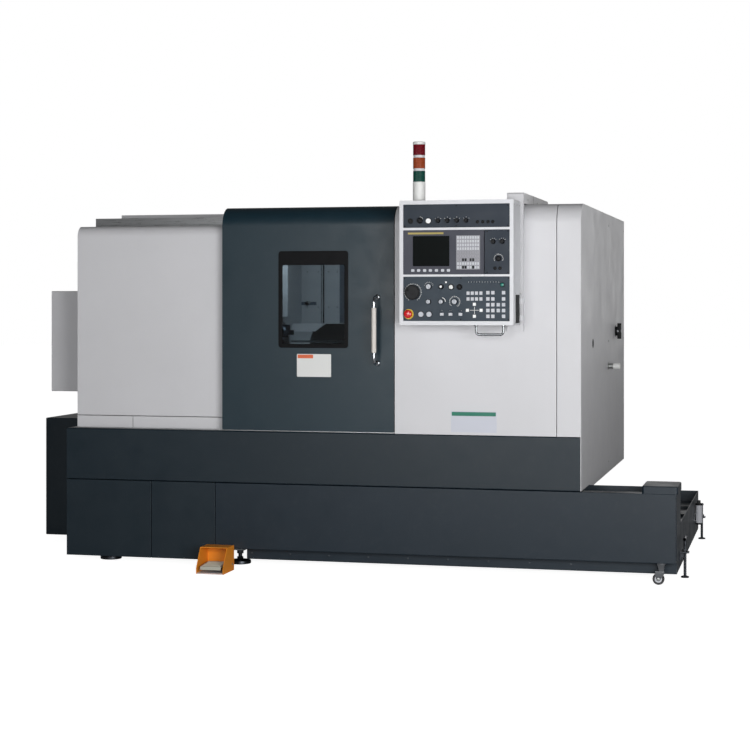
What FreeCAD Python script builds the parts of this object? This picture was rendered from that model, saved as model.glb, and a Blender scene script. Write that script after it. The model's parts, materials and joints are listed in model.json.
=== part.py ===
"""Slant-bed turning lathe with a sliding front door, a swivelling operator panel,
a roll-out coolant tank and a foot switch.

Lengths are in millimetres and angles in degrees. The working axes are those of the floor
plan: X runs from the left end of the base to the right, Y from the front plane to the back
and Z up from the floor. Every sub-part is then placed so that the origin lies on the floor
under the middle of the whole machine.
"""
import FreeCAD, Part
import math
import os
from types import SimpleNamespace

import Sketcher
from FreeCAD import Placement, Rotation, Vector

# ---------------------------------------------------------------------------
# Driving dimensions
# ---------------------------------------------------------------------------
SIZES = {
    # enclosure
    "base_width": 2618, "body_depth": 2028, "base_bottom": 45, "base_seam": 430,
    "base_top": 690, "body_top": 1800, "sheet": 3, "seam": 3, "flange": 32,
    "top_round": 95, "access_split": 456,
    # head end covers
    "head_cover_left": 38, "head_cover_front": 50, "head_cover_top": 1715,
    "head_cover_rear": 640, "head_cover_round": 55, "sill_height": 62, "sill_split": 338,
    "end_cover_reach": 217, "end_cover_front": 300, "end_cover_rear": 760,
    "end_cover_bottom": 859, "end_cover_top": 1387, "bar_inlet": 90,
    "hydraulic_reach": 430, "hydraulic_front": 700, "hydraulic_depth": 900,
    "rear_housing_left": 40, "cabinet_left": 1500, "cabinet_front": 1468, "door_fold": 22,
    "cabinet_rim": 22,
    # front door and window
    "door_left": 832, "door_right": 1709, "door_thickness": 40, "door_top_depth": 300,
    "door_travel": 780, "door_gap": 4, "rail_height": 36,
    "window_left": 1125, "window_right": 1480, "window_bottom": 1104, "window_top": 1580,
    "window_rim": 17, "window_head": 66, "window_corner": 12, "frame_proud": 4, "glass": 8,
    "handle_x": 1627, "handle_bottom": 1032, "handle_height": 322, "handle_reach": 75,
    "handle_rod": 12, "handle_bend": 26, "grip_diameter": 23, "grip_bottom": 1084,
    "grip_length": 218, "handle_foot": 26,
    # right end
    "corner_strip": 114, "duct_left": 2266, "duct_width": 80, "duct_height": 51,
    "duct_depth": 800, "duct_front": 16, "duct_bottom": 1190,
    "latch_y": 482, "latch_z": 1122, "breaker_rear_gap": 479, "breaker_z": 1167,
    "breaker_size": 88, "breaker_reach": 33,
    # bed and spindle line
    "spindle_y": 520, "spindle_z": 1100, "slant": 45, "way_depth": 330,
    "plinth_bottom": 75, "plinth_height": 165, "plinth_inset": 70, "plinth_front": 150,
    "plinth_rear_inset": 178, "caster_room": 110, "way_height": 22, "head_foot": 40,
    "bed_left": 300, "bed_end_gap": 178, "cast_wall": 40, "bed_toe_drop": 180,
    "bed_crown": 500, "rib_gap": 450,
    "head_block_right": 850, "foot_pad": 110, "foot_screw": 24, "foot_nut": 42,
    "head_length": 500, "head_half_width": 185, "spindle_barrel": 170,
    "spindle_bore": 62, "spindle_nose": 210, "chuck_diameter": 254, "chuck_length": 118,
    "jaw_height": 54, "jaw_width": 38, "jaw_travel": 8, "running_gap": 0.3,
    "pulley_diameter": 230, "motor_pulley": 130, "belt_width": 96, "belt_thickness": 9,
    "motor_y": 300, "motor_z": 425, "motor_diameter": 260, "motor_length": 440,
    "liner_front": 112, "liner_left": 868, "liner_end_gap": 166, "liner_rear": 1290,
    # carriage, turret and tailstock
    "carriage_end_gap": 1058, "saddle_span": 440, "carriage_length": 360, "saddle_height": 96,
    "slide_height": 76, "turret_offset": 345, "turret_diameter": 400,
    "turret_thickness": 72, "turret_stations": 12, "tailstock_end_gap": 558,
    "tailstock_length": 330, "quill_diameter": 100, "quill_reach": 60,
    # operator panel
    "pendant_left": 1787, "pendant_width": 544, "pendant_bottom": 1221,
    "pendant_height": 587, "pendant_depth": 200, "pendant_back": 20, "pendant_wall": 18,
    "panel_recess": 4, "panel_gap": 10, "top_panel": 112, "screen_panel": 209,
    "side_panel": 119, "stop_height": 27, "stem_length": 12, "hinge_barrel": 11,
    "hinge_offset": 6,
    # signal lamp
    "lamp_x": 1866, "lamp_y": 145, "lamp_diameter": 60, "lamp_base": 92,
    "lens_height": 51, "lens_gap": 12, "lamp_cap": 14,
    # coolant tank
    "tank_left": 797, "tank_body_left": 935, "tank_right": 3060, "tank_front_depth": 340,
    "tank_panel_bottom": 105, "tank_recess": 80, "tank_low_top": 213, "tank_depth": 1800,
    "tank_rim": 47, "pump_cover_left": 2903, "pump_cover_width": 168,
    "pump_cover_depth": 250, "pump_cover_height": 36, "wheel_diameter": 56,
    "wheel_width": 18, "caster_x": 2990, "caster_inset": 36, "caster_outset": 44,
    "caster_trail": 12, "jack_reach": 45, "jack_front": 280,
    "jack_rear_gap": 100,
    "gauge_diameter": 40, "gauge_height": 116, "gauge_y": 1450,
    # foot switch
    "pedal_left": 755, "pedal_width": 140, "pedal_depth": 170, "pedal_height": 124,
    "pedal_brow": 62, "pedal_base": 6,
}

doc = FreeCAD.newDocument("TurningLathe")
sheet = doc.addObject("Spreadsheet::Sheet", "Sizes")
for row, (alias, value) in enumerate(SIZES.items(), start=1):
    sheet.set(f"A{row}", alias)
    sheet.set(f"B{row}", str(value))
    sheet.setAlias(f"B{row}", alias)
doc.recompute()


class Size:
    """A number together with the sheet expression that it comes from."""

    def __init__(self, value, text):
        self.value = float(value)
        self.text = text

    def __add__(self, other):
        other = size(other)
        return Size(self.value + other.value, f"({self.text} + {other.text})")

    def __sub__(self, other):
        other = size(other)
        return Size(self.value - other.value, f"({self.text} - {other.text})")

    def __mul__(self, other):
        other = size(other)
        return Size(self.value * other.value, f"({self.text} * {other.text})")

    def __truediv__(self, other):
        other = size(other)
        return Size(self.value / other.value, f"({self.text} / {other.text})")

    def __neg__(self):
        return Size(-self.value, f"(0 - {self.text})")

    def __radd__(self, other):
        return size(other) + self

    def __rsub__(self, other):
        return size(other) - self

    def __rmul__(self, other):
        return size(other) * self

    def __rtruediv__(self, other):
        return size(other) / self


def size(number):
    """Any number as a Size."""
    if isinstance(number, Size):
        return number
    return Size(number, f"{float(number):.9f}")


def sine(angle):
    """Sine of an angle in degrees."""
    angle = size(angle)
    return Size(math.sin(math.radians(angle.value)), f"sin({angle.text})")


def cosine(angle):
    """Cosine of an angle in degrees."""
    angle = size(angle)
    return Size(math.cos(math.radians(angle.value)), f"cos({angle.text})")


s = SimpleNamespace(**{alias: Size(value, f"Sizes.{alias}") for alias, value in SIZES.items()})

# Places that follow the ends of the enclosure.
s.bed_right = s.base_width - s.bed_end_gap
s.liner_right = s.base_width - s.liner_end_gap
s.carriage_left = s.base_width - s.carriage_end_gap
s.tailstock_left = s.base_width - s.tailstock_end_gap
s.breaker_y = s.body_depth - s.breaker_rear_gap

# The frame: the origin is under the middle of the bounding box.
reach_left = -s.hydraulic_reach
reach_right = s.tank_right + s.jack_reach
PANEL_FACE = s.panel_recess - s.pendant_back - s.pendant_depth
reach_front = PANEL_FACE - s.stop_height
reach_rear = s.body_depth + s.hinge_offset + s.hinge_barrel / 2
FRAME_X = (reach_left + reach_right) / 2
FRAME_Y = (reach_front + reach_rear) / 2

SUBPARTS = []


# ---------------------------------------------------------------------------
# Building blocks
# ---------------------------------------------------------------------------
def bind(obj, prop, number):
    """Tie a property to the sheet."""
    obj.setExpression(prop, size(number).text)


def move(obj, x=0, y=0, z=0):
    """Tie an object's place to the sheet and keep its rotation."""
    for axis, number in zip("xyz", (x, y, z)):
        bind(obj, f"Placement.Base.{axis}", number)
    return obj


def block(x, y, z):
    """A box from three (low, high) pairs."""
    obj = doc.addObject("Part::Box", "Block")
    for prop, (low, high) in zip(("Length", "Width", "Height"), (x, y, z)):
        bind(obj, prop, size(high) - low)
    return move(obj, x[0], y[0], z[0])


AXIS_TURN = {
    "x": Rotation(Vector(0, 1, 0), 90),
    "y": Rotation(Vector(1, 0, 0), -90),
    "z": Rotation(),
}


def rod(axis, span, centre, diameter):
    """A cylinder along an axis; centre holds the two other coordinates in X, Y, Z order."""
    obj = doc.addObject("Part::Cylinder", "Rod")
    bind(obj, "Radius", size(diameter) / 2)
    bind(obj, "Height", size(span[1]) - span[0])
    obj.Placement = Placement(Vector(), AXIS_TURN[axis])
    place = list(centre)
    place.insert("xyz".index(axis), span[0])
    return move(obj, *place)


def sided(axis, span, centre, diameter, count):
    """A straight bar with count sides, its corners on the circle of the diameter."""
    radius = size(diameter) / 2
    return prism(axis, span, [(centre[0] + radius * cosine(360 * (index + 0.5) / count),
                               centre[1] + radius * sine(360 * (index + 0.5) / count))
                              for index in range(count)])


def fuse(*shapes):
    obj = doc.addObject("Part::MultiFuse", "Fusion")
    obj.Shapes = list(shapes)
    obj.Refine = True
    return obj


def group(*shapes):
    """Separate solids that share one node."""
    obj = doc.addObject("Part::Compound", "Group")
    obj.Links = list(shapes)
    return obj


def cut(base, *tools):
    obj = doc.addObject("Part::Cut", "Cut")
    obj.Base = base
    obj.Tool = tools[0] if len(tools) == 1 else fuse(*tools)
    obj.Refine = True
    return obj


def rounded(base, radius, chosen):
    """Round the edges for which chosen(middle point, direction) is true."""
    doc.recompute()
    edges = []
    for index, edge in enumerate(base.Shape.Edges, start=1):
        middle = edge.valueAt((edge.FirstParameter + edge.LastParameter) / 2)
        ends = edge.valueAt(edge.LastParameter) - edge.valueAt(edge.FirstParameter)
        if ends.Length < 1e-6:
            continue
        if chosen(middle, ends.normalize()):
            edges.append((index, size(radius).value, size(radius).value))
    obj = doc.addObject("Part::Fillet", "Round")
    obj.Base = base
    obj.Edges = edges
    return obj


def near(a, b):
    return abs(size(a).value - size(b).value) < 0.01


def draw(body, plane, offset, loops):
    """A sketch of closed outlines on one of the body's own origin planes.

    Each outline is a list of (a, b) or (a, b, radius) corners. A corner with a radius is an
    arc tangent to its two sides, and the sharp corner stays as a construction point.
    """
    sketch = body.newObject("Sketcher::SketchObject", "Outline")
    origin = {feature.Role: feature for feature in body.Origin.OriginFeatures}
    sketch.AttachmentSupport = (origin[plane], [""])
    sketch.MapMode = "FlatFace"
    bind(sketch, "AttachmentOffset.Base.z", offset)
    for corners in loops:
        outline(sketch, corners)
    return sketch


def fix(sketch, geo, pos, a, b):
    """Pin a point of the sketch to two sheet values."""
    for kind, number in (("DistanceX", size(a)), ("DistanceY", size(b))):
        index = sketch.addConstraint(Sketcher.Constraint(kind, -1, 1, geo, pos, number.value))
        sketch.setExpression(f"Constraints[{index}]", number.text)


def outline(sketch, corners):
    points = [Vector(size(c[0]).value, size(c[1]).value, 0) for c in corners]
    radii = [size(c[2]) if len(c) > 2 else None for c in corners]
    count = len(points)
    leave, arrive = [], []
    for i, point in enumerate(points):
        ahead = (points[(i + 1) % count] - point).normalize()
        behind = (points[i - 1] - point).normalize()
        if radii[i] is None:
            leave.append(point)
            arrive.append(point)
            continue
        half = behind.getAngle(ahead) / 2
        reach = radii[i].value / math.tan(half)
        leave.append(point + ahead * reach)
        arrive.append(point + behind * reach)
    lines = []
    for i in range(count):
        start, end = leave[i], arrive[(i + 1) % count]
        lines.append(sketch.addGeometry(Part.LineSegment(start, end), False))
    for i, point in enumerate(points):
        before, after = lines[i - 1], lines[i]
        if radii[i] is None:
            sketch.addConstraint(Sketcher.Constraint("Coincident", before, 2, after, 1))
            fix(sketch, after, 1, corners[i][0], corners[i][1])
            continue
        ahead = (points[(i + 1) % count] - point).normalize()
        behind = (points[i - 1] - point).normalize()
        half = behind.getAngle(ahead) / 2
        middle = (ahead + behind).normalize()
        centre = point + middle * (radii[i].value / math.sin(half))
        bulge = centre - middle * radii[i].value
        arc = sketch.addGeometry(Part.Arc(arrive[i], bulge, leave[i]), False)
        corner = sketch.addGeometry(Part.Point(point), True)
        fix(sketch, corner, 1, corners[i][0], corners[i][1])
        sketch.addConstraint(Sketcher.Constraint("PointOnObject", corner, 1, before))
        sketch.addConstraint(Sketcher.Constraint("PointOnObject", corner, 1, after))
        first = 1 if near_point(sketch.getPoint(arc, 1), arrive[i]) else 2
        sketch.addConstraint(Sketcher.Constraint("Tangent", before, 2, arc, first))
        sketch.addConstraint(Sketcher.Constraint("Tangent", arc, 3 - first, after, 1))
        index = sketch.addConstraint(Sketcher.Constraint("Radius", arc, radii[i].value))
        sketch.setExpression(f"Constraints[{index}]", radii[i].text)


def near_point(a, b):
    return (a - b).Length < 0.001


PLANES = {"x": "YZ_Plane", "y": "XZ_Plane", "z": "XY_Plane"}


def new_body():
    return doc.addObject("PartDesign::Body", "Body")


def pad(body, axis, span, *loops):
    """Pad outlines along an axis over a span. Across Y the outline is seen from the front."""
    low, high = size(span[0]), size(span[1])
    offset = -high if axis == "y" else low
    feature = body.newObject("PartDesign::Pad", "Pad")
    feature.Profile = draw(body, PLANES[axis], offset, loops)
    bind(feature, "Length", high - low)
    return feature


def pocket(body, axis, span, *loops):
    """Cut outlines through the body over a span."""
    low, high = size(span[0]), size(span[1])
    offset = -high if axis == "y" else low
    feature = body.newObject("PartDesign::Pocket", "Pocket")
    feature.Profile = draw(body, PLANES[axis], offset, loops)
    bind(feature, "Length", high - low)
    feature.Reversed = True
    return feature


def prism(axis, span, *loops):
    body = new_body()
    pad(body, axis, span, *loops)
    return body


def turned(corners, axis="x"):
    """A revolved body. Corners are (along, radius), about the X axis or the Z axis."""
    body = new_body()
    feature = body.newObject("PartDesign::Revolution", "Revolution")
    if axis == "x":
        sketch = draw(body, "XZ_Plane", 0, [corners])
        feature.Profile = sketch
        feature.ReferenceAxis = (sketch, ["H_Axis"])
    else:
        sketch = draw(body, "XZ_Plane", 0, [[(c[1], c[0], *c[2:]) for c in corners]])
        feature.Profile = sketch
        feature.ReferenceAxis = (sketch, ["V_Axis"])
    feature.Angle = 360
    return body


def bent_rod(plane, offset, corners, diameter):
    """A twelve-sided rod along an open line of (a, b) points, mitred at each corner."""
    holder = new_body()
    path = open_line(draw(holder, plane, offset, []), corners)
    doc.recompute()
    start = path.Shape.Edges[0]
    circle = doc.addObject("Part::RegularPolygon", "Section")
    circle.Polygon = 12
    bind(circle, "Circumradius", size(diameter) / 2)
    ends = [start.valueAt(start.FirstParameter), start.valueAt(start.LastParameter)]
    first = Vector(*path_point(path, corners[0]))
    tip = ends[0] if (ends[0] - first).Length < (ends[1] - first).Length else ends[1]
    other = ends[1] if tip is ends[0] else ends[0]
    circle.Placement = Placement(tip, Rotation(Vector(0, 0, 1), other - tip))
    sweep = doc.addObject("Part::Sweep", "Sweep")
    sweep.Sections = [circle]
    sweep.Spine = (path, [f"Edge{i + 1}" for i in range(len(path.Shape.Edges))])
    sweep.Solid = True
    sweep.Frenet = False
    return sweep


def path_point(path, corner):
    local = Vector(size(corner[0]).value, size(corner[1]).value, 0)
    return path.Placement.multVec(local)


def open_line(sketch, corners):
    """An open line of straight pieces through the (a, b) corners."""
    points = [Vector(size(c[0]).value, size(c[1]).value, 0) for c in corners]
    lines = [sketch.addGeometry(Part.LineSegment(a, b), False)
             for a, b in zip(points, points[1:])]
    for i, line in enumerate(lines):
        fix(sketch, line, 1, corners[i][0], corners[i][1])
        if i:
            sketch.addConstraint(Sketcher.Constraint("Coincident", lines[i - 1], 2, line, 1))
    fix(sketch, lines[-1], 2, corners[-1][0], corners[-1][1])
    return sketch


def rectangle(a, b, radius=None):
    """Outline of a rectangle from two (low, high) pairs."""
    corners = [(a[0], b[0]), (a[1], b[0]), (a[1], b[1]), (a[0], b[1])]
    if radius is None:
        return corners
    return [(*corner, radius) for corner in corners]


def seat(obj, label, x=0, y=0, z=0, turn=None):
    """Finish a sub-part: give it its name and its place in the machine's frame.

    x, y and z are where the sub-part's own origin lies in the floor plan.
    """
    if turn is not None:
        obj.Placement = Placement(Vector(), Rotation(Vector(1, 0, 0), turn.value))
        bind(obj, "Placement.Rotation.Angle", turn)
    move(obj, size(x) - FRAME_X, size(y) - FRAME_Y, z)
    obj.Label = label
    SUBPARTS.append(obj)
    return obj


def seat_on_slant(obj, label):
    """Place a sub-part drawn in the slanted frame.

    There X is the spindle axis, Y climbs the slant away from it and Z leaves the bed.
    """
    return seat(obj, label, y=s.spindle_y, z=s.spindle_z, turn=s.slant)


def bent_sheet(span, line, thickness, axis="x"):
    """A folded sheet: a line of corners given a thickness on its inner side.

    line is a list of (a, b, inside_a, inside_b[, outer radius]): the outer corner, and the
    inward shift of the inner corner in units of the thickness.
    """
    outer = [(c[0], c[1], c[4]) if len(c) > 4 else (c[0], c[1]) for c in line]
    inner = []
    for corner in reversed(line):
        a = size(corner[0]) + size(corner[2]) * thickness
        b = size(corner[1]) + size(corner[3]) * thickness
        if len(corner) > 4:
            inner.append((a, b, size(corner[4]) - thickness))
        else:
            inner.append((a, b))
    return prism(axis, span, outer + inner)


# ---------------------------------------------------------------------------
# Base and its covers
# ---------------------------------------------------------------------------
def slant_point(along, depth):
    """Floor plan (Y, Z) of a point given along the slant and below the spindle line."""
    return (s.spindle_y + along * cosine(s.slant) + depth * sine(s.slant),
            s.spindle_z + along * sine(s.slant) - depth * cosine(s.slant))


# ends of the slanted face, and the ways on it, along the slant
BED_TOE, BED_CROWN = -s.bed_toe_drop, s.bed_crown
CARRIAGE_WAYS = [(5, 75), (355, 425)]
TAILSTOCK_WAYS = [(-152, -112), (-82, -42)]


def bed_casting():
    """Cast base with its plinth, head block and the slanted bed that carries the ways.

    The casting is hollow and open below, with two cross ribs under the bed.
    """
    body = new_body()
    low, high = s.plinth_bottom, s.plinth_bottom + s.plinth_height
    left, front, rear = s.plinth_inset, s.plinth_front, s.body_depth - s.plinth_rear_inset
    step_x = s.head_block_right + 50
    step_y = s.tank_front_depth + s.caster_room
    pad(body, "z", (low, high), [
        (left, front), (step_x, front), (step_x, step_y), (s.bed_right, step_y),
        (s.bed_right, rear), (left, rear),
    ])
    toe = slant_point(BED_TOE, s.way_depth + s.way_height)
    crown = slant_point(BED_CROWN, s.way_depth + s.way_height)
    chest = step_y + 30
    back = crown[0] + 130
    pad(body, "x", (s.bed_left, s.bed_right), [
        (chest, high - 5), (rear - 370, high - 5), (rear - 370, high + 380),
        (back, crown[1] - 60), (back, crown[1]), crown, toe, (chest, high + 320),
    ])
    head_low = s.spindle_z - s.head_half_width - s.head_foot
    brow = s.spindle_y - s.head_half_width - 5
    pad(body, "x", (s.bed_left, s.head_block_right), [
        (brow, head_low - 150), (brow, head_low), (brow + 430, head_low),
        (brow + 430, high + 260), (chest, high + 260),
    ])
    wall = s.cast_wall
    deep = s.way_depth + s.way_height + wall
    roof_low, roof_high = slant_point(BED_TOE + 30, deep), slant_point(BED_CROWN - 45, deep)
    bays = [(s.bed_left + wall, s.head_block_right - wall),
            (s.head_block_right, s.tailstock_left - s.rib_gap),
            (s.tailstock_left - s.rib_gap + wall, s.bed_right - wall)]
    for bay in bays:
        pocket(body, "x", bay, [
            (chest + wall, low - 1), (rear - 370 - wall, low - 1),
            (rear - 370 - wall, high + 350), (back - wall, crown[1] - 90), roof_high,
            roof_low, (chest + wall, high + 290),
        ])
    pocket(body, "x", bays[0], [
        (chest + wall, high + 290), (brow + wall, head_low - 130),
        (brow + wall, head_low - wall), (brow + 430 - wall, head_low - wall),
        (brow + 430 - wall, high + 290),
    ])
    pocket(body, "z", (low - 1, high - wall),
           rectangle((left + 160, step_x - 120), (front + wall, chest - wall)))
    pocket(body, "z", (low - 1, high - wall),
           rectangle((left + wall, s.bed_left), (chest, rear - 160)))
    pocket(body, "z", (low - 1, high - wall),
           rectangle((left + 160, s.bed_right - 160), (rear - 370, rear - 160)))
    ways = []
    for low_way, high_way in CARRIAGE_WAYS + TAILSTOCK_WAYS:
        ways.append(block((s.head_block_right + 40, s.bed_right), (low_way, high_way),
                          (-s.way_depth - s.way_height - 1, -s.way_depth)))
    slanted = group(*ways)
    slanted.Placement = Placement(Vector(), Rotation(Vector(1, 0, 0), s.slant.value))
    bind(slanted, "Placement.Rotation.Angle", s.slant)
    move(slanted, 0, s.spindle_y, s.spindle_z)
    ledge_under = s.base_top - s.sheet
    brackets = []
    for x, width in ((left + 2, 16), (step_x - 90, 40)):
        brackets.append(prism("x", (x, x + width), [
            (front + 10, high - 5), (front + 40, high - 5), (front + 40, ledge_under),
            (front - 60, ledge_under), (front - 60, ledge_under - 20),
            (front + 10, ledge_under - 20),
        ]))
    return seat(fuse(body, slanted, *brackets), "bed_casting")


def leveling_feet():
    """Six round pads on jack screws under the corners and sides of the plinth."""
    front, rear = s.plinth_front + 75, s.body_depth - s.plinth_rear_inset - 80
    left, right = s.plinth_inset + 80, s.bed_right - 80
    spots = [
        (left, front), (s.head_block_right + 3, front),
        (right, s.tank_front_depth + s.caster_room + 80),
        (left, rear), ((left + right) / 2, rear), (right, rear),
    ]
    feet = []
    half = s.foot_nut / 2
    for x, y in spots:
        pad_disc = sided("z", (0, 22), (0, 0), s.foot_pad, 16)
        screw = prism("z", (21, s.plinth_bottom), [
            (-half, 0), (-half / 2, -half * 0.866), (half / 2, -half * 0.866), (half, 0),
            (half / 2, half * 0.866), (-half / 2, half * 0.866),
        ])
        feet.append(move(group(fuse(pad_disc, screw)), x, y, 0))
    return seat(group(*feet), "leveling_feet")


def base_front_cover():
    """Dark band across the front under the door, folded back as the door's ledge.

    A strip on its lower edge carries the access covers.
    """
    ledge = s.liner_front
    cover = bent_sheet((0, s.base_width - s.sheet), [
        (s.flange, s.base_seam + s.seam, 0, 1),
        (0, s.base_seam + s.seam, 1, 1),
        (0, s.base_top, 1, -1, 8),
        (ledge, s.base_top, 0, -1),
    ], s.sheet)
    strip = block((0, s.tank_left - s.seam), (s.flange - 1, s.flange + s.sheet),
                  (s.base_seam - 30, s.base_seam + s.seam + s.sheet))
    strip = cut(strip, block((-1, s.tank_left), (0, s.flange),
                             (0, s.base_seam + s.seam)))
    return seat(fuse(cover, strip), "base_front_cover")


def tray(x, z, front, depth, thickness):
    """A front panel with a return flange on all four sides, open at the back."""
    shell = prism("y", (front, front + depth), rectangle(x, z))
    pocket(shell, "y", (front + thickness, front + depth), rectangle(
        (size(x[0]) + thickness, size(x[1]) - thickness),
        (size(z[0]) + thickness, size(z[1]) - thickness)))
    return shell


def base_access_covers():
    """Two removable covers low on the left, in front of the spindle motor."""
    spans = [(0, s.access_split), (s.access_split + s.seam, s.tank_left - s.seam)]
    covers = [tray(span, (s.base_bottom, s.base_seam), 0, s.flange, s.sheet)
              for span in spans]
    return seat(group(*covers), "base_access_covers")


def base_side_covers():
    """Left end and rear skirts of the base, each a panel with folded edges."""
    sheet, deep = s.sheet, s.body_depth
    under = s.base_top - sheet
    low = s.base_bottom
    lid_right = s.rear_housing_left + s.flange
    right = s.base_width - sheet
    fold = deep - s.flange
    return seat(group(
        block((0, sheet), (s.flange + sheet, deep), (low, under)),
        block((sheet, s.flange), (s.flange + sheet, s.flange + 2 * sheet), (low, under)),
        block((sheet, s.flange), (deep - sheet, deep), (low, under)),
        block((0, lid_right), (s.liner_front, deep), (under, s.base_top)),
        block((s.flange, right), (deep - sheet, deep), (low, under)),
        block((s.flange, right), (fold, deep - sheet), (low, low + sheet)),
        block((s.flange, s.flange + sheet), (fold, deep - sheet), (low + sheet, under)),
        block((right - sheet, right), (fold, deep - sheet), (low + sheet, under)),
        block((lid_right, right), (fold - 20, deep), (under, s.base_top)),
    ), "base_side_covers")


def hydraulic_cabinet():
    """Cabinet of the hydraulic unit at the left end, with louvres in its rear."""
    low_x, high_x = -s.hydraulic_reach, size(0)
    front, rear = s.hydraulic_front, s.hydraulic_front + s.hydraulic_depth
    low, high = s.base_bottom, s.base_top
    sheet = s.sheet
    back = prism("y", (rear - sheet, rear), rectangle((low_x + sheet, high_x - sheet),
                                                      (low + sheet, high - sheet)))
    louvres = [rectangle((low_x + 90, high_x - 90),
                         (low + 150 + row * 40, low + 166 + row * 40)) for row in range(6)]
    pocket(back, "y", (rear - sheet - 1, rear + 1), *louvres)
    inner = (low + sheet, high - sheet)
    return seat(group(
        back,
        block((low_x, low_x + sheet), (front, rear), inner),
        block((high_x - sheet, high_x), (front, rear), inner),
        block((low_x + sheet, high_x - sheet), (front, front + sheet), inner),
        block((low_x, high_x), (front, rear), (low, low + sheet)),
        block((low_x, high_x), (front, rear), (high - sheet, high)),
    ), "hydraulic_cabinet")


# ---------------------------------------------------------------------------
# Upper covers
# ---------------------------------------------------------------------------
def end_wall(x, outline_points):
    return prism("x", (x, size(x) + s.sheet), outline_points)


def headstock_cover():
    """Light cover over the headstock, rounded where the front meets the top."""
    low = s.base_top + s.sill_height + s.seam
    left, right = s.head_cover_left, s.liner_left - s.seam * 2
    front, top, rear = s.head_cover_front, s.head_cover_top, s.head_cover_rear
    bend, sheet = s.head_cover_round, s.sheet
    outline_points = [(front, low), (front, top, bend), (rear, top), (rear, low)]
    wall = end_wall(left, outline_points)
    hole = sided("x", (left - 1, left + sheet + 1), (s.spindle_y, s.spindle_z),
                 s.chuck_diameter, 24)
    lip = block((left + sheet, s.door_left - 8), (front + sheet, front + 10),
                (low + 20, low + 23))
    return seat(group(*folded((left + sheet, right), (front, top, bend), low, rear, sheet),
                      cut(wall, hole), lip), "headstock_cover")


def folded(span, corner, low, rear, thickness):
    """Upright sheet, rounded brow and top sheet that touch but stay separate solids."""
    front, top, bend = corner
    return [
        block(span, (front, front + thickness), (low, top - bend)),
        prism("x", span, brow(front, top, bend, 0) + brow(front, top, bend, thickness)[::-1]),
        block(span, (front + bend, rear), (top - thickness, top)),
    ]


def brow(front, top, bend, inset):
    """Corners of a quarter round in six chords, from the upright face to the top."""
    radius = bend - inset
    return [(front + bend - radius * cosine(angle), top - bend + radius * sine(angle))
            for angle in range(0, 91, 15)]


def headstock_sill_panels():
    """Two low panels that close the gap between the headstock cover and the base."""
    low, high = s.base_top, s.base_top + s.sill_height
    spans = [(s.head_cover_left, s.sill_split), (s.sill_split + s.seam, s.door_left - 8)]
    panels = []
    for left, right in spans:
        panels.append(bent_sheet((left, right), [
            (s.head_cover_front + s.flange, low, 0, 1), (s.head_cover_front, low, 1, 1),
            (s.head_cover_front, high, 1, -1), (s.head_cover_front + s.flange, high, 0, -1),
        ], s.sheet))
    return seat(group(*panels), "headstock_sill_panels")


def spindle_end_cover():
    """Box over the rear end of the spindle, with an eight-sided inlet for bar stock."""
    reach, right, sheet = s.end_cover_reach, s.head_cover_left, s.sheet
    front, rear = s.end_cover_front, s.end_cover_rear
    low, high = s.end_cover_bottom, s.end_cover_top
    wall, half = (-reach, sheet - reach), s.bar_inlet / 2
    inlet_left, inlet_right = s.spindle_y - half, s.spindle_y + half
    inlet_low, inlet_high = s.spindle_z - half, s.spindle_z + half
    leg = half * 0.586
    corners = [
        [(inlet_left, inlet_low), (inlet_left + leg, inlet_low), (inlet_left, inlet_low + leg)],
        [(inlet_right, inlet_low), (inlet_right, inlet_low + leg),
         (inlet_right - leg, inlet_low)],
        [(inlet_right, inlet_high), (inlet_right - leg, inlet_high),
         (inlet_right, inlet_high - leg)],
        [(inlet_left, inlet_high), (inlet_left, inlet_high - leg),
         (inlet_left + leg, inlet_high)],
    ]
    span = (sheet - reach, right)
    return seat(group(
        block(wall, (front, inlet_left), (low, high)),
        block(wall, (inlet_right, rear), (low, high)),
        block(wall, (inlet_left, inlet_right), (low, inlet_low)),
        block(wall, (inlet_left, inlet_right), (inlet_high, high)),
        *[prism("x", wall, points) for points in corners],
        block(span, (front, front + sheet), (low, high)),
        block(span, (rear - sheet, rear), (low, high)),
        block(span, (front + sheet, rear - sheet), (low, low + sheet)),
        block(span, (front + sheet, rear - sheet), (high - sheet, high)),
    ), "spindle_end_cover")


def front_profile(bottom, depth):
    """Folded section of a front cover: face, rounded brow and top return."""
    return [
        (0, bottom, 1, 0), (0, s.body_top, 1, -1, s.top_round), (depth, s.body_top, 0, -1),
    ]


def right_front_cover():
    """Light cover at the right of the door, with the same rounded brow."""
    left = s.door_right + s.door_gap
    right = s.base_width - s.corner_strip - s.seam
    skin = folded((left, right), (size(0), s.body_top, s.top_round), s.base_top,
                  s.door_top_depth, s.sheet)
    jamb = block((left, left + s.sheet), (s.sheet, s.door_thickness + 50),
                 (s.base_top, s.body_top - s.top_round - 10))
    return seat(group(*skin, jamb), "right_front_cover")


def right_side_panel():
    """Right end panel, folded round the corner as a front strip."""
    left = s.base_width - s.corner_strip
    strip = folded((left, s.base_width - s.sheet), (size(0), s.body_top, s.top_round),
                   s.base_top, s.door_top_depth, s.sheet)
    side_low, over_tank = s.base_seam - 18, s.base_seam + s.seam
    tank_clear = s.tank_front_depth + 12
    side = prism("x", (s.base_width - s.sheet, s.base_width), [
        (0, over_tank), (tank_clear, over_tank), (tank_clear, side_low),
        (s.body_depth, side_low), (s.body_depth, s.body_top),
        (0, s.body_top, s.top_round),
    ])
    skin = s.base_width - s.sheet
    hole = rod("x", (skin - 1, s.base_width + 1), (s.latch_y, s.latch_z), 38)
    cup = cut(sided("x", (skin - 11, skin), (s.latch_y, s.latch_z), 44, 16),
              sided("x", (skin - 8, skin + 1), (s.latch_y, s.latch_z), 38, 16))
    return seat(group(*strip, cut(side, hole), cup), "right_side_panel")


def cabinet_front():
    return s.cabinet_front


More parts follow.
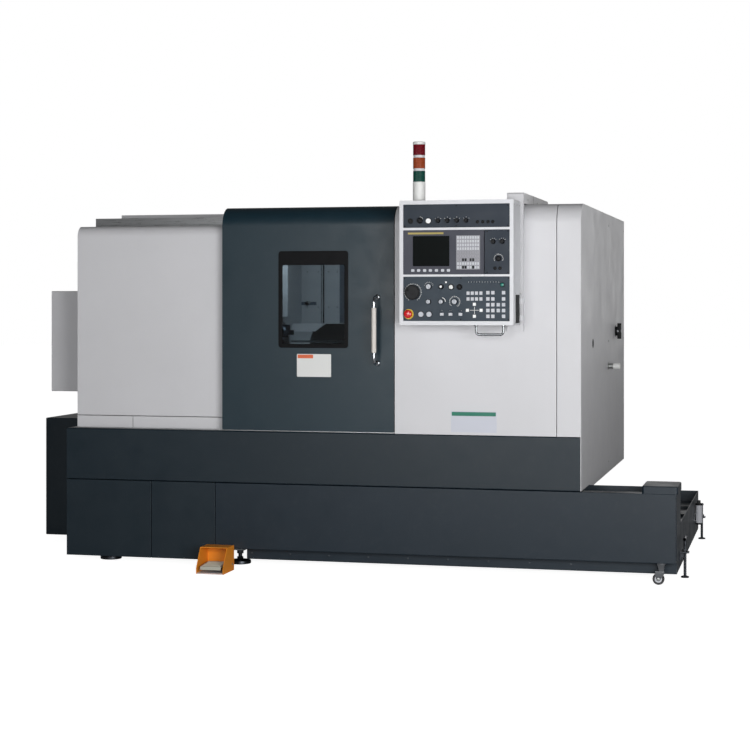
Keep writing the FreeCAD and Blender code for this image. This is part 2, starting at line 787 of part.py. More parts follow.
def roof_panel():
    """Roof over the work space, folded down at the left end and at the back."""
    front, rear = s.head_cover_rear, s.body_depth
    left, right = s.rear_housing_left, s.base_width - s.sheet
    brow = s.door_top_depth + s.seam
    sheet = s.sheet
    under = s.body_top - sheet
    top = (under, s.body_top)
    middle = s.cabinet_left - s.seam
    return seat(group(
        block((left, s.liner_left), (front, rear), top),
        block((s.liner_left, middle), (brow, rear), top),
        block((middle, right), (brow, cabinet_front() - s.seam), top),
        block((left, left + sheet), (front, rear), (s.base_top, under)),
        block((left + sheet, middle), (rear - sheet, rear), (s.base_top, under)),
        block((left + sheet, s.liner_left), (front, front + sheet),
              (s.head_cover_top - s.flange, under)),
        block((s.liner_left - sheet, s.liner_left), (brow, front),
              (s.head_cover_top + s.seam, s.body_top)),
    ), "roof_panel")


def electrical_cabinet():
    """Control cabinet at the right of the back, open to the rear for its door."""
    left, right = s.cabinet_left, s.base_width - s.sheet
    front, rear = cabinet_front(), s.body_depth - s.door_fold - 2
    low, high = s.base_top, s.body_top
    sheet, rim = s.sheet, s.cabinet_rim
    inner = (low + sheet, high - sheet)
    mouth = (rear - rim, rear)
    walls = [
        block((left, right), (front, front + sheet), (low, high)),
        block((left, left + sheet), (front + sheet, rear), inner),
        block((right - sheet, right), (front + sheet, rear), inner),
        block((left, right), (front + sheet, rear), (low, low + sheet)),
        block((left, right), (front + sheet, rear), (high - sheet, high)),
        block((left + sheet, left + rim), mouth, inner),
        block((right - rim, right - sheet), mouth, inner),
        block((left + rim, right - rim), mouth, (low + sheet, low + rim)),
        block((left + rim, right - rim), mouth, (high - rim, high - sheet)),
    ]
    plate_front = front + sheet + 12
    plate = block((left + 90, right - 90), (plate_front, plate_front + sheet),
                  (low + 90, high - 90))
    studs = [block((x - 8, x + 8), (front + sheet, plate_front), (z - 8, z + 8))
             for x in (left + 130, right - 130)
             for z in (low + 130, high - 130)]
    hinges = []
    axis_x, axis_y = cabinet_hinge()
    for level in hinge_levels():
        span = (level - 45, level)
        leaf = block((left - 2, left), (rear - 14, axis_y + 2), span)
        arm = block((left - 1, axis_x), (axis_y - 3, axis_y + 2), span)
        barrel = sided("z", span, (axis_x, axis_y), s.hinge_barrel / cosine(22.5), 8)
        hinges.append(group(fuse(leaf, arm, barrel),
                            sided("z", (level, level + 45), (axis_x, axis_y), 5, 8)))
    return seat(group(*walls, plate, *studs, *hinges), "electrical_cabinet")


def cabinet_hinge():
    """Hinge line (X, Y) of the cabinet door."""
    return s.cabinet_left + 8.5, s.body_depth + s.hinge_offset


def hinge_levels():
    return s.base_top + 160, (s.base_top + s.body_top) / 2, s.body_top - 160


def cabinet_door():
    """Rear door of the control cabinet, hung at its left side, with a turn lock."""
    left, right = s.cabinet_left + 1, s.base_width - s.sheet - s.seam - 1
    rear = s.body_depth
    door = tray_back((left, right), (s.base_top + 1, s.body_top - 1), rear - s.door_fold,
                     rear, s.sheet)
    hinges = []
    axis_x, axis_y = cabinet_hinge()
    for level in hinge_levels():
        span = (level + s.running_gap, level + 45)
        knuckle = fuse(sided("z", span, (axis_x, axis_y), s.hinge_barrel / cosine(22.5), 8),
                       block((axis_x, axis_x + 30), (rear - 1, rear + 3), span))
        hinges.append(cut(knuckle, rod("z", (level - 1, level + 46), (axis_x, axis_y),
                                       5 + 2 * s.running_gap)))
    lock = sided("y", (rear - 1, rear + 8), (right - 60, (s.base_top + s.body_top) / 2),
                 34, 12)
    return seat(fuse(door, lock, *hinges), "cabinet_door")


def tray_back(x, z, low, high, thickness):
    """A rear panel with return flanges that point to the front."""
    shell = prism("y", (low, high), rectangle(x, z))
    pocket(shell, "y", (low, high - thickness), rectangle(
        (size(x[0]) + thickness, size(x[1]) - thickness),
        (size(z[0]) + thickness, size(z[1]) - thickness)))
    return shell


def breaker_handle():
    """Rotary handle of the main switch on the right end panel."""
    half = s.breaker_size / 2
    collar = rod("x", (0, 11), (0, 0), 52)
    bar = prism("x", (11, s.breaker_reach), [
        (-11, -half), (11, -half), (15, 0), (11, half), (-11, half), (-15, 0),
    ])
    return seat(group(collar, bar), "breaker_handle", x=s.base_width + s.running_gap,
                y=s.breaker_y, z=s.breaker_z)


def top_duct():
    """Cable duct along the roof and down the front, with the fixed half of the panel's hinge."""
    left, right = s.duct_left, s.duct_left + s.duct_width
    top = s.body_top + s.duct_height
    outer = [
        (-s.duct_front, s.duct_bottom), (-s.duct_front, top, 10), (s.duct_depth, top),
        (s.duct_depth, s.body_top), (0, s.body_top), (0, s.duct_bottom),
    ]
    webs = []
    x, y = hinge_x(), hinge_y()
    for low, high in hinge_webs():
        webs.append(block((x - s.hinge_barrel / 2, right), (y, 1 - s.duct_front), (low, high)))
        webs.append(sided("z", (low, high), (x, y), s.hinge_barrel, 8))
    low, high = hinge_webs()[0][0], hinge_webs()[-1][1]
    webs.append(rod("z", (low, high), (x, y), 8))
    return seat(fuse(prism("x", (left, right), outer), *webs), "top_duct")


def hinge_eyes():
    """Height ranges of the two eyes on the operator panel's housing."""
    return [(s.pendant_bottom + low, s.pendant_bottom + low + 26) for low in (20, 100)]


def hinge_webs():
    """Height ranges of the fixed webs below, between and above the eyes."""
    (low_a, high_a), (low_b, high_b) = hinge_eyes()
    gap = s.running_gap
    return [(low_a - 12, low_a - gap), (high_a + gap, low_b - gap), (high_b + gap, high_b + 16)]


# ---------------------------------------------------------------------------
# Front door
# ---------------------------------------------------------------------------
def rail_front():
    """Front face of the upper rail, under the top return of the door."""
    return s.door_top_depth - 60


def rail_low():
    return s.head_cover_top + 12


def door_rails():
    """Upper guide rail on the headstock cover and lower rail on the ledge."""
    front = rail_front()
    top_rail = block((s.head_cover_left + 20, s.door_right), (front, front + 16),
                     (rail_low(), rail_low() + s.rail_height))
    shim = block((s.head_cover_left + 20, s.liner_left - 8), (front, front + 16),
                 (s.head_cover_top, rail_low()))
    end = s.door_right + s.door_gap + s.sheet
    lug = block((s.door_right, end), (front, front + 16),
                (rail_low(), rail_low() + s.rail_height))
    bracket = block((end, end + 40), (front, front + 16), (rail_low(), s.body_top - s.sheet))
    low_rail = block((s.head_cover_left, s.door_right), (14, 24),
                     (s.base_top, s.base_top + 5))
    return seat(group(top_rail, shim, lug, bracket, low_rail), "door_rails")


def front_door():
    """Dark sliding door: folded face with the rounded brow, side returns and a window cut."""
    bottom = s.base_top + 6
    left, right = s.door_left, s.door_right
    depth = s.door_top_depth - s.seam
    sheet = s.sheet
    hood = s.body_top - s.rail_height / 2
    upright, round_sheet, top_sheet = folded(
        (left, right), (size(0), s.body_top, s.top_round), bottom, depth, sheet)
    hole_x = (s.window_left + s.window_rim, s.window_right - s.window_rim)
    hole_z = (s.window_bottom + s.window_rim, s.window_top - s.window_head)
    face = (0, sheet)
    skin = [
        block((left, hole_x[0]), face, (bottom, s.body_top - s.top_round)),
        block((hole_x[1], right), face, (bottom, s.body_top - s.top_round)),
        block(hole_x, face, (bottom, hole_z[0])),
        block(hole_x, face, (hole_z[1], s.body_top - s.top_round)),
        round_sheet, top_sheet,
    ]
    doc.removeObject(upright.Name)
    stiles = []
    for x in (left, right - sheet):
        side = (x, x + sheet)
        stiles.append(block(side, (sheet, s.door_thickness), (bottom, hood - 75)))
        stiles.append(prism("x", side, [
            (sheet, hood - 75), (s.door_thickness, hood - 75), (depth - 150, hood),
            (depth, hood), (depth, s.body_top - sheet),
            (s.top_round, s.body_top - sheet),
        ] + brow(size(0), s.body_top, s.top_round, sheet)[-2::-1]))
    foot = block((left + sheet, right - sheet), (sheet, s.door_thickness),
                 (bottom, bottom + sheet))
    hangers = []
    rail_top = rail_low() + s.rail_height
    for x in (left + 70, right - 130):
        back = rail_front() - s.running_gap
        hangers.append(block((x, x + 60), (back - 4, back),
                             (rail_low() + 6, s.body_top - sheet)))
        hangers.append(sided("y", (back, rail_front() + 14),
                             (x + 30, rail_top + s.running_gap + 9), 18, 8))
    return seat(group(*skin, foot, *stiles, *hangers), "front_door")


def window_frame():
    """Black bezel that clamps the window, with a deeper band along its top."""
    outer = rectangle((s.window_left, s.window_right), (s.window_bottom, s.window_top))
    inner = rectangle((s.window_left + s.window_rim, s.window_right - s.window_rim),
                      (s.window_bottom + s.window_rim, s.window_top - s.window_head))
    return seat(prism("y", (-s.frame_proud, 0), outer, inner), "window_frame")


def window_glass():
    """Laminated window held behind the door skin."""
    return seat(group(block((s.window_left + 4, s.window_right - 4),
                            (s.sheet, s.sheet + s.glass),
                            (s.window_bottom + 4, s.window_top - 40))), "window_glass")


def door_handle():
    """Bent chrome rod on two round feet."""
    low, top = s.handle_bottom, s.handle_bottom + s.handle_height
    reach, bend = s.handle_reach, 0.586 * s.handle_bend
    bar = bent_rod("YZ_Plane", s.handle_x, [
        (-8, low), (bend - reach, low), (-reach, low + bend), (-reach, top - bend),
        (bend - reach, top), (-8, top),
    ], s.handle_rod)
    feet = [sided("y", (-8, 0), (s.handle_x, z), s.handle_foot, 16) for z in (low, top)]
    return seat(group(bar, *feet), "door_handle")


def door_grip():
    """Moulded sleeve on the straight of the handle."""
    span = (size(0), s.grip_length)
    grip = cut(sided("z", span, (0, 0), s.grip_diameter, 16),
               sided("z", (-1, s.grip_length + 1), (0, 0), s.handle_rod / cosine(15), 12))
    return seat(grip, "door_grip", x=s.handle_x, y=-s.handle_reach, z=s.grip_bottom)


# ---------------------------------------------------------------------------
# Work space and spindle line
# ---------------------------------------------------------------------------
def chamber_liner():
    """Sheet lining of the work space: end walls, rear wall, shelf, chip slope and apron."""
    front, rear = s.liner_front, s.liner_rear
    sheet = s.sheet
    mouth_low, mouth_rear = s.base_seam + 10, s.tank_front_depth - 10
    top = s.body_top - 80
    toe = slant_point(BED_TOE, s.way_depth + s.way_height)
    crown = slant_point(BED_CROWN, s.way_depth + s.way_height)
    lip = (toe[0] - 44, toe[1] - 10)
    wall_line = [
        (front, mouth_low), (mouth_rear, mouth_low), lip, toe, crown, (rear, crown[1]),
        (rear, top), (front, top),
    ]
    left = prism("x", (s.liner_left, s.liner_left + sheet), wall_line)
    hole = rod("x", (s.liner_left - 1, s.liner_left + sheet + 1),
               (s.spindle_y, s.spindle_z), s.spindle_nose + 20)
    right = prism("x", (s.liner_right - sheet, s.liner_right), wall_line)
    span = (s.liner_left + sheet, s.liner_right - sheet)
    back = block(span, (rear - sheet, rear), (crown[1], top))
    shelf = block(span, (crown[0] + 4, rear - sheet), (crown[1], crown[1] + sheet))
    slope = prism("x", span, [
        (mouth_rear, mouth_low), (mouth_rear + 4, mouth_low), (lip[0] + 4, lip[1]), lip,
    ])
    apron = block(span, (front, front + sheet), (mouth_low, s.base_top - sheet))
    return seat(group(cut(left, hole), right, back, slope, apron, shelf), "chamber_liner")


def headstock():
    """Cast headstock with sloping shoulders and its bearing bore."""
    half = s.head_half_width
    right = s.head_block_right - 14
    left = right - s.head_length
    low = s.spindle_z - half - s.head_foot
    body = prism("x", (left, right), [
        (s.spindle_y - half, low), (s.spindle_y + half + 20, low),
        (s.spindle_y + half + 20, s.spindle_z + half - 90),
        (s.spindle_y + half - 70, s.spindle_z + half),
        (s.spindle_y - half + 90, s.spindle_z + half),
        (s.spindle_y - half, s.spindle_z + half - 90),
    ])
    bore = rod("x", (left - 1, right + 1), (s.spindle_y, s.spindle_z),
               s.spindle_barrel + 2 * s.running_gap)
    return seat(cut(body, bore), "headstock")


def spindle():
    """Spindle from the chuck cylinder at the left to the nose at the right."""
    nose = s.head_block_right + 24
    bore, barrel = s.spindle_bore / 2, s.spindle_barrel / 2
    pulley = s.pulley_diameter / 2
    groove_left = size(110)
    groove_right = groove_left + s.belt_width + 4
    profile = [
        (-180, bore), (-180, barrel), (groove_left, barrel), (groove_left, pulley),
        (groove_right, pulley), (groove_right, barrel), (nose, barrel), (nose, bore),
    ]
    return seat(turned(profile), "spindle", y=s.spindle_y, z=s.spindle_z)


def chuck():
    """Three-jaw power chuck: turned body with radial tee ways for the jaws."""
    half, length = s.chuck_diameter / 2, s.chuck_length
    body = cut(sided("x", (0, length), (0, 0), 2 * half, 36),
               rod("x", (-1, length + 1), (0, 0), 66))
    tools = []
    for turn in range(3):
        tools.append(spoke(turn, block(
            (length - 30, length + 1), (-s.jaw_width / 2 - s.running_gap,
                                        s.jaw_width / 2 + s.running_gap), (38, half + 1))))
    return seat(cut(body, *tools), "chuck", x=s.head_block_right + 24,
                y=s.spindle_y, z=s.spindle_z)


def spoke(index, obj):
    """Turn a piece drawn along +Z about the spindle axis to one of three places."""
    obj = group(obj)
    obj.Placement = Placement(Vector(), Rotation(Vector(1, 0, 0), 120 * index))
    return obj


def chuck_jaw(index):
    """Master jaw in its way with a stepped top jaw bolted on it."""
    length, half = s.chuck_length, s.chuck_diameter / 2
    width = s.jaw_width / 2
    outline_points = [
        (length - 30 + s.running_gap, 44), (length + 22, 44), (length + 22, 58),
        (length + s.jaw_height, 58), (length + s.jaw_height, 82), (length + 34, 82),
        (length + 34, half - s.jaw_travel - 8), (length - 30 + s.running_gap,
                                                 half - s.jaw_travel - 8),
    ]
    jaw = prism("y", (-width, width), outline_points)
    turned_jaw = spoke(index, jaw)
    holder = group(turned_jaw)
    return seat(holder, f"chuck_jaw_{index + 1}", x=s.head_block_right + 24,
                y=s.spindle_y, z=s.spindle_z)


def spindle_motor():
    """Foot-mounted motor on the plinth, with the belt pulley on its shaft."""
    left = size(110) + s.belt_width + 34
    right = left + s.motor_length
    half = s.motor_diameter / 2
    base = s.plinth_bottom + s.plinth_height
    y, z = s.motor_y, s.motor_z
    barrel = prism("x", (left, right), [
        (y - half, z - half + 40), (y - half + 40, z - half), (y + half - 40, z - half),
        (y + half, z - half + 40), (y + half, z + half - 40), (y + half - 40, z + half),
        (y - half + 40, z + half), (y - half, z + half - 40),
    ])
    foot = block((left + 40, right - 100), (y - half, y + half), (base, base + 24))
    web = block((left + 60, right - 120), (y - 90, y + 90), (base + 12, z - half + 20))
    box = block((left + 120, left + 260), (y - 70, y + 70), (z + half - 12, z + half + 46))
    pulley = sided("x", (110, 110 + s.belt_width + 4), (y, z), s.motor_pulley, 24)
    shaft = sided("x", (109 + s.belt_width, left + 1), (y, z), 42, 8)
    return seat(fuse(barrel, foot, web, box, pulley, shaft), "spindle_motor")


def drive_belt():
    """Belt from the motor pulley up to the spindle pulley."""
    loops = [belt_line(s.running_gap + s.belt_thickness), belt_line(s.running_gap)]
    return seat(prism("x", (112, 112 + s.belt_width), *loops), "drive_belt")


def belt_line(extra):
    """Corners of a line round both pulleys that keeps the distance extra from them."""
    dy = s.spindle_y.value - s.motor_y.value
    dz = s.spindle_z.value - s.motor_z.value
    difference = (s.pulley_diameter.value - s.motor_pulley.value) / 2
    lean = math.degrees(math.asin(difference / math.hypot(dy, dz)))
    heading = math.degrees(math.atan2(dz, dy))
    corners = []
    for y, z, diameter, middle, wrap in (
            (s.spindle_y, s.spindle_z, s.pulley_diameter, heading, 180 + 2 * lean),
            (s.motor_y, s.motor_z, s.motor_pulley, heading + 180, 180 - 2 * lean)):
        count = 8
        step = wrap / count
        reach = (diameter / 2 + extra) / cosine(step / 2)
        for index in range(count):
            angle = middle - wrap / 2 + (index + 0.5) * step
            corners.append((y + reach * cosine(angle), z + reach * sine(angle)))
    return corners


# ---------------------------------------------------------------------------
# Carriage, turret and tailstock, in the slanted frame
# ---------------------------------------------------------------------------
def carriage():
    """Saddle on the two main ways, with dovetail ways across it for the cross slide."""
    left, right = s.carriage_left, s.carriage_left + s.carriage_length
    low, high = s.running_gap - s.way_depth, s.saddle_height - s.way_depth
    parts = [
        block((left, right), (-30, s.saddle_span), (low, high - 24)),
        block((left, left + 96), (-30, s.saddle_span), (high - 24, high)),
        block((left + 112, right), (-30, s.saddle_span), (high - 24, high)),
    ]
    wipers = [block((x, x + 8), (-26, s.saddle_span - 4), (low, low + 30))
              for x in (left - 8, right)]
    return seat_on_slant(group(*parts, *wipers), "carriage")


def turret_housing():
    """Cross slide with the turret's gear housing and index motor on it."""
    box_left = s.carriage_left + s.turret_thickness + 46
    left, right = box_left, s.carriage_left + s.carriage_length - 10
    base = s.saddle_height - s.way_depth + s.running_gap
    top = base + s.slide_height
    slide = prism("z", (base, top), rectangle((left, right), (s.turret_offset - 190,
                                                              s.turret_offset + 230)))
    housing = prism("x", (box_left, right - 30), [
        (s.turret_offset - 140, top), (s.turret_offset + 140, top),
        (s.turret_offset + 140, 90), (s.turret_offset + 90, 140),
        (s.turret_offset - 90, 140), (s.turret_offset - 140, 90),
    ])
    motor = block((right - 30, right + 110), (s.turret_offset - 45, s.turret_offset + 105),
                  (-55, 95))
    neck = sided("x", (s.carriage_left + s.turret_thickness + 40 + s.running_gap, box_left),
                 (s.turret_offset, 0), 190, 16)
    return seat_on_slant(group(slide, housing, motor, neck), "turret_housing")


def turret_disc():
    """Twelve-sided disc with a clamping wedge on every face and four tool shanks."""
    left = s.carriage_left + 40
    thick = s.turret_thickness
    count = int(s.turret_stations.value)
    apothem = s.turret_diameter / 2
    corner = apothem / cosine(180 / count)
    ring = []
    for index in range(count):
        angle = 360 / count * (index + 0.5)
        ring.append((corner * cosine(angle), corner * sine(angle)))
    disc = prism("x", (left, left + thick), ring)
    hub = rod("x", (left - 16, left), (0, 0), 110)
    tools = []
    for index in range(count):
        angle = 360 / count * index
        wedge = block((left - 10, left), (-30, -14), (apothem - 52, apothem - 4))
        tools.append(turned_copy(wedge, angle))
        if index % 3 == 0:
            shank = block((left - 26, left), (-12.5, 12.5), (apothem - 34, apothem - 5))
            tools.append(turned_copy(shank, angle))
    head = group(disc, hub, *tools)
    move(head, 0, s.turret_offset, 0)
    return seat_on_slant(group(head), "turret_disc")


def turned_copy(obj, angle):
    obj = group(obj)
    obj.Placement = Placement(Vector(), Rotation(Vector(1, 0, 0), angle))
    return obj


def tailstock():
    """Tailstock on its own low way, with a round barrel for the quill."""
    left, right = s.tailstock_left, s.tailstock_left + s.tailstock_length
    low = s.running_gap - s.way_depth
    foot = block((left, right), (-160, -34), (low, -160))
    neck = prism("x", (left, right), [(-160, -160), (-34, -160), (80, -80), (-80, -80)])
    half = size(80)
    bore = s.quill_diameter / 2 + s.running_gap
    barrel = [
        block((left, right), (-half, half), (-half, -bore)),
        block((left, right), (-half, -bore), (-bore, half)),
        block((left, right), (bore, half), (-bore, half)),
        block((left, right), (-bore, bore), (bore, half)),
    ]
    return seat_on_slant(group(foot, neck, *barrel), "tailstock")


def tailstock_quill():
    """Quill with a live centre in its nose."""
    left = s.tailstock_left
    radius = s.quill_diameter / 2
    tip = left - s.quill_reach
    quill = turned([
        (tip - 92, 0), (tip - 92, 22), (tip, 22), (tip, radius), (left + 240, radius),
        (left + 240, 0),
    ])
    return seat_on_slant(quill, "tailstock_quill")


# ---------------------------------------------------------------------------
# Operator panel and signal lamp
# ---------------------------------------------------------------------------
PENDANT_FRONT = -(s.pendant_back + s.pendant_depth)
PENDANT_TOP = s.pendant_bottom + s.pendant_height


def pendant_housing():
    """Light housing with three recessed bays in its front and hinge eyes at the right."""
    left, right = s.pendant_left, s.pendant_left + s.pendant_width
    back = -s.pendant_back
    shell = prism("z", (s.pendant_bottom, PENDANT_TOP), [
        (left, PENDANT_FRONT), (right, PENDANT_FRONT), (right, back), (left + 30, back),
        (left, back - 30),
    ])
    pocket(shell, "y", (PENDANT_FRONT - 1, back - s.sheet), rectangle(
        (left + s.pendant_wall, right - s.pendant_wall),
        (s.pendant_bottom + s.pendant_wall, PENDANT_TOP - s.pendant_wall)))
    eyes = []
    axis_x = hinge_x()
    for low, high in hinge_eyes():
        eyes.append(rod("z", (low, high), (axis_x, hinge_y()), 30))
    pin = rod("z", (s.pendant_bottom + 10, s.pendant_bottom + 140), (axis_x, hinge_y()),
              8 + 2 * s.running_gap)
    return seat(cut(fuse(shell, *eyes), pin), "pendant_housing")


def hinge_x():
    """The panel's hinge stands just off its right rear edge."""
    return s.pendant_left + s.pendant_width + 6


def hinge_y():
    return -(s.pendant_back + 16)


def panel_bay(top_offset, height):
    """Height range of one bay, counted down from the top of the housing."""
    high = PENDANT_TOP - top_offset
    return high - height, high


def bays():
    """Height ranges of the three bays, from the top."""
    middle = s.pendant_wall + s.top_panel + s.panel_gap
    low = middle + s.screen_panel + s.panel_gap
    return (panel_bay(s.pendant_wall + 1, s.top_panel - 2), panel_bay(middle, s.screen_panel),
            panel_bay(low, s.pendant_height - low - s.pendant_wall - 1))


def control_panels():
    """Dark control panels with the holes of the moving controls."""
    left = s.pendant_left + s.pendant_wall
    right = s.pendant_left + s.pendant_width - s.pendant_wall
    span = (PANEL_FACE, PANEL_FACE + s.sheet)
    top_bay, middle_bay, low_bay = bays()
    holes = []
    for label, across, down, stem in CONTROLS:
        x, z = panel_point(across, down)
        half = size(stem) * 0.68 + s.running_gap
        holes.append(block((x - half, x + half), (PANEL_FACE - 1, PANEL_FACE + s.sheet + 1),
                           (z - half, z + half)))
    plates = [
        block((left, right), span, top_bay),
        block((right - s.side_panel, right), span, middle_bay),
        cut(block((left, right), span, low_bay), *holes),
    ]
    return seat(group(*plates), "control_panels")


def display_unit():
    """Screen unit: bezel with a sunk screen."""
    left = s.pendant_left + s.pendant_wall
    right = s.pendant_left + s.pendant_width - s.pendant_wall - s.side_panel - s.seam
    face = PANEL_FACE - 3
    low, high = bays()[1]
    unit = prism("y", (face, PANEL_FACE + s.sheet), rectangle((left, right), (low, high)))
    pocket(unit, "y", (face - 1, face + 4), rectangle(
        (left + 46, left + 222), (low + 40, high - 28)))
    return seat(unit, "display_unit")


def pendant_handle():
    """Round U handle under the panel, used to swing it."""
    depth_y = -(s.pendant_back + 110)
    low = s.pendant_bottom - 45
    left, right = s.pendant_left + 351, s.pendant_left + 481
    handle = bent_rod("XZ_Plane", -depth_y, [
        (left, s.pendant_bottom), (left, low + 13), (left + 13, low), (right - 13, low),
        (right, low + 13), (right, s.pendant_bottom),
    ], 12)
    return seat(handle, "pendant_handle")


def panel_point(across, down):
    """A point of the panel's face, measured from its top left corner."""
    return s.pendant_left + across, PENDANT_TOP - down


# name, across and down from the panel's top left corner, radius of the stem in the panel
CONTROLS = [
    ("handwheel", 64, 433, 6), ("estop_button", 44, 535, 8),
    ("mode_selector", 141, 406, 5), ("feed_override_knob", 265, 477, 5),
    ("cycle_start_button", 248, 408, 8), ("feed_hold_button", 288, 408, 8),
]


def operator_controls():
    """The hand wheel, stop button, selectors and push buttons that move.

    Each has a stem through its square hole in the panel and heads (low, high, diameter)
    that stand in front of the panel's face.
    """
    gap = s.running_gap
    heads = {
        "handwheel": [(gap, 20, 72)],
        "estop_button": [(14, s.stop_height, 40)],
        "mode_selector": [(gap, 16, 28)], "feed_override_knob": [(gap, 16, 28)],
        "cycle_start_button": [(4, 9, 20)], "feed_hold_button": [(4, 9, 20)],
    }
    for label, across, down, stem in CONTROLS:
        half = size(stem) * 0.68
        x, z = panel_point(across, down)
        low = heads[label][0][0]
        if label in ("estop_button", "cycle_start_button", "feed_hold_button"):
            pieces = [block((-half, half), (-low, s.stem_length), (-half, half))]
        else:
            pieces = [rod("y", (-low, s.stem_length), (0, 0), 2 * half)]
        for near_face, far_face, diameter in heads[label]:
            span = (-size(far_face), -near_face)
            if label in ("mode_selector", "feed_override_knob"):
                pieces.append(fluted(near_face, far_face, diameter))
            else:
                sides = 16 if diameter < 30 else 32
                pieces.append(sided("y", span, (0, 0), diameter, sides))
        seat(group(*pieces), label, x=x, y=PANEL_FACE, z=z)


def fluted(low, high, diameter):
    """A twelve-sided knob, wider across one pair of corners for its pointer."""
    radius = size(diameter) / 2
    corners = []
    for index in range(12):
        angle = 30 * index
        reach = radius * (1.12 if index == 3 else 0.97)
        corners.append((reach * cosine(angle), reach * sine(angle)))
    return prism("y", (-size(high), -size(low)), corners)


def stack_light():
    """Signal lamp: base, three lenses with separators between them, and a cap."""
    radius = s.lamp_diameter / 2
    level = s.lamp_base
    posts = [sided("z", (0, level), (0, 0), s.lamp_diameter, 24)]
    place = dict(x=s.lamp_x, y=-s.lamp_y)
    for colour in ("green", "amber", "red"):
        top = level + s.lens_height
        lens = group(sided("z", (0, s.lens_height), (0, 0), 2 * radius - 2, 24))
        seat(lens, f"stack_lens_{colour}", z=PENDANT_TOP + level, **place)
        if colour == "red":
            posts.append(sided("z", (top, top + s.lamp_cap), (0, 0), s.lamp_diameter, 24))
        else:
            posts.append(sided("z", (top, top + s.lens_gap), (0, 0), 2 * radius - 4, 24))
        level = top + s.lens_gap
    return seat(group(*posts), "stack_light_post", z=PENDANT_TOP, **place)


# ---------------------------------------------------------------------------
# Coolant tank
# ---------------------------------------------------------------------------
def coolant_tank():
    """Tank on casters: chip trough along the front and a low settling tank at the right."""
    top, low = s.base_seam, s.base_bottom
    left, right = s.tank_body_left, s.tank_right
    front, rear = s.tank_recess, s.tank_front_depth
    sheet = s.sheet
    settle_left = s.base_width + 24
    rim_top = s.tank_low_top + s.tank_rim
    shelf = (s.tank_panel_bottom, s.tank_panel_bottom + sheet)
    trough = [
        block((left, right), (front, rear), (low, low + sheet)),
        block((left, right), (front, front + sheet), (low + sheet, top)),
        block((left, settle_left), (rear - sheet, rear), (low + sheet, top)),
        block((settle_left, right), (rear - sheet, rear), (rim_top, top)),
        block((left, left + sheet), (front + sheet, rear - sheet), (low + sheet, top)),
        block((right - sheet, right), (front + sheet, rear - sheet), (low + sheet, top)),
    ]
    settle = [
        block((settle_left, right), (rear, s.tank_depth), (low, low + sheet)),
        block((settle_left, settle_left + sheet), (rear, s.tank_depth), (low + sheet, rim_top)),
        block((right - sheet, right), (rear, s.tank_depth), (low + sheet, rim_top)),
        block((settle_left + sheet, right - sheet), (s.tank_depth - sheet, s.tank_depth),
              (low + sheet, rim_top)),
    ]
    panel = [
        block((s.tank_left, right), (0, sheet), (s.tank_panel_bottom, top)),
        block((s.tank_left, right), (sheet, front), (top - sheet, top)),
        block((s.tank_left, right), (sheet, front), shelf),
    ]
    brackets = [
        block((s.caster_x - 60, s.caster_x + 60),
              (s.tank_depth, s.tank_depth + 2 * s.caster_outset), shelf),
        fuse(block((left + 20, left + 140), (rear, rear + 82), shelf),
             block((left + 62, left + 98), (rear + 20, rear + 60),
                   (s.wheel_diameter / 2, shelf[0] + 1)),
             rod("y", (rear + 31, rear + 49),
                 (left + 80, s.wheel_diameter / 2 + s.running_gap), s.wheel_diameter)),
    ]
    return seat(group(*trough, *settle, *panel, *brackets), "coolant_tank")


def pump_cover():
    """Low rounded cover over the pump at the tank's front right corner."""
    left, right = s.pump_cover_left, s.pump_cover_left + s.pump_cover_width
    low = s.base_seam
    bevel, rear, high = 12, s.pump_cover_depth, low + s.pump_cover_height
    cover = prism("z", (low, high), [
        (left + bevel, 0), (right - bevel, 0), (right, bevel), (right, rear - bevel),
        (right - bevel, rear), (left + bevel, rear), (left, rear - bevel), (left, bevel),
    ])
    return seat(cover, "pump_cover")


def outrigger_jacks():
    """Two brackets with tee-headed jack screws on the tank's right end."""
    jacks = []
    for y in (s.jack_front, s.tank_depth - s.jack_rear_gap):
        x = s.tank_right + s.jack_reach - 20
        bracket = block((s.tank_right, s.tank_right + s.jack_reach), (y - 20, y + 20),
                        (120, 128))
        screw = sided("z", (4, 190), (x, y), 14, 8)
        pad_disc = sided("z", (1, 9), (x, y), 40, 12)
        tee = sided("y", (y - 40, y + 40), (x, 190), 14, 8)
        jacks.append(fuse(bracket, screw, pad_disc, tee))
    return seat(group(*jacks), "outrigger_jacks")


def level_gauge():
    """Drain cock on the end of the tank: light body between dark ends with a lever."""
    x = s.tank_right + s.gauge_diameter / 2 + 4
    low = size(113)
    high = low + s.gauge_height
    body = sided("z", (low, high), (x, s.gauge_y), s.gauge_diameter, 16)
    mount = block((s.tank_right, x), (s.gauge_y - 12, s.gauge_y + 12), (low + 20, low + 60))
    hub = block((x - 9, x + 9), (s.gauge_y - 9, s.gauge_y + 9), (high - 1, high + 16))
    lever = block((x - 4, x + 4), (s.gauge_y - 70, s.gauge_y), (high + 4, high + 12))
    return seat(fuse(body, mount, lever, hub), "level_gauge")


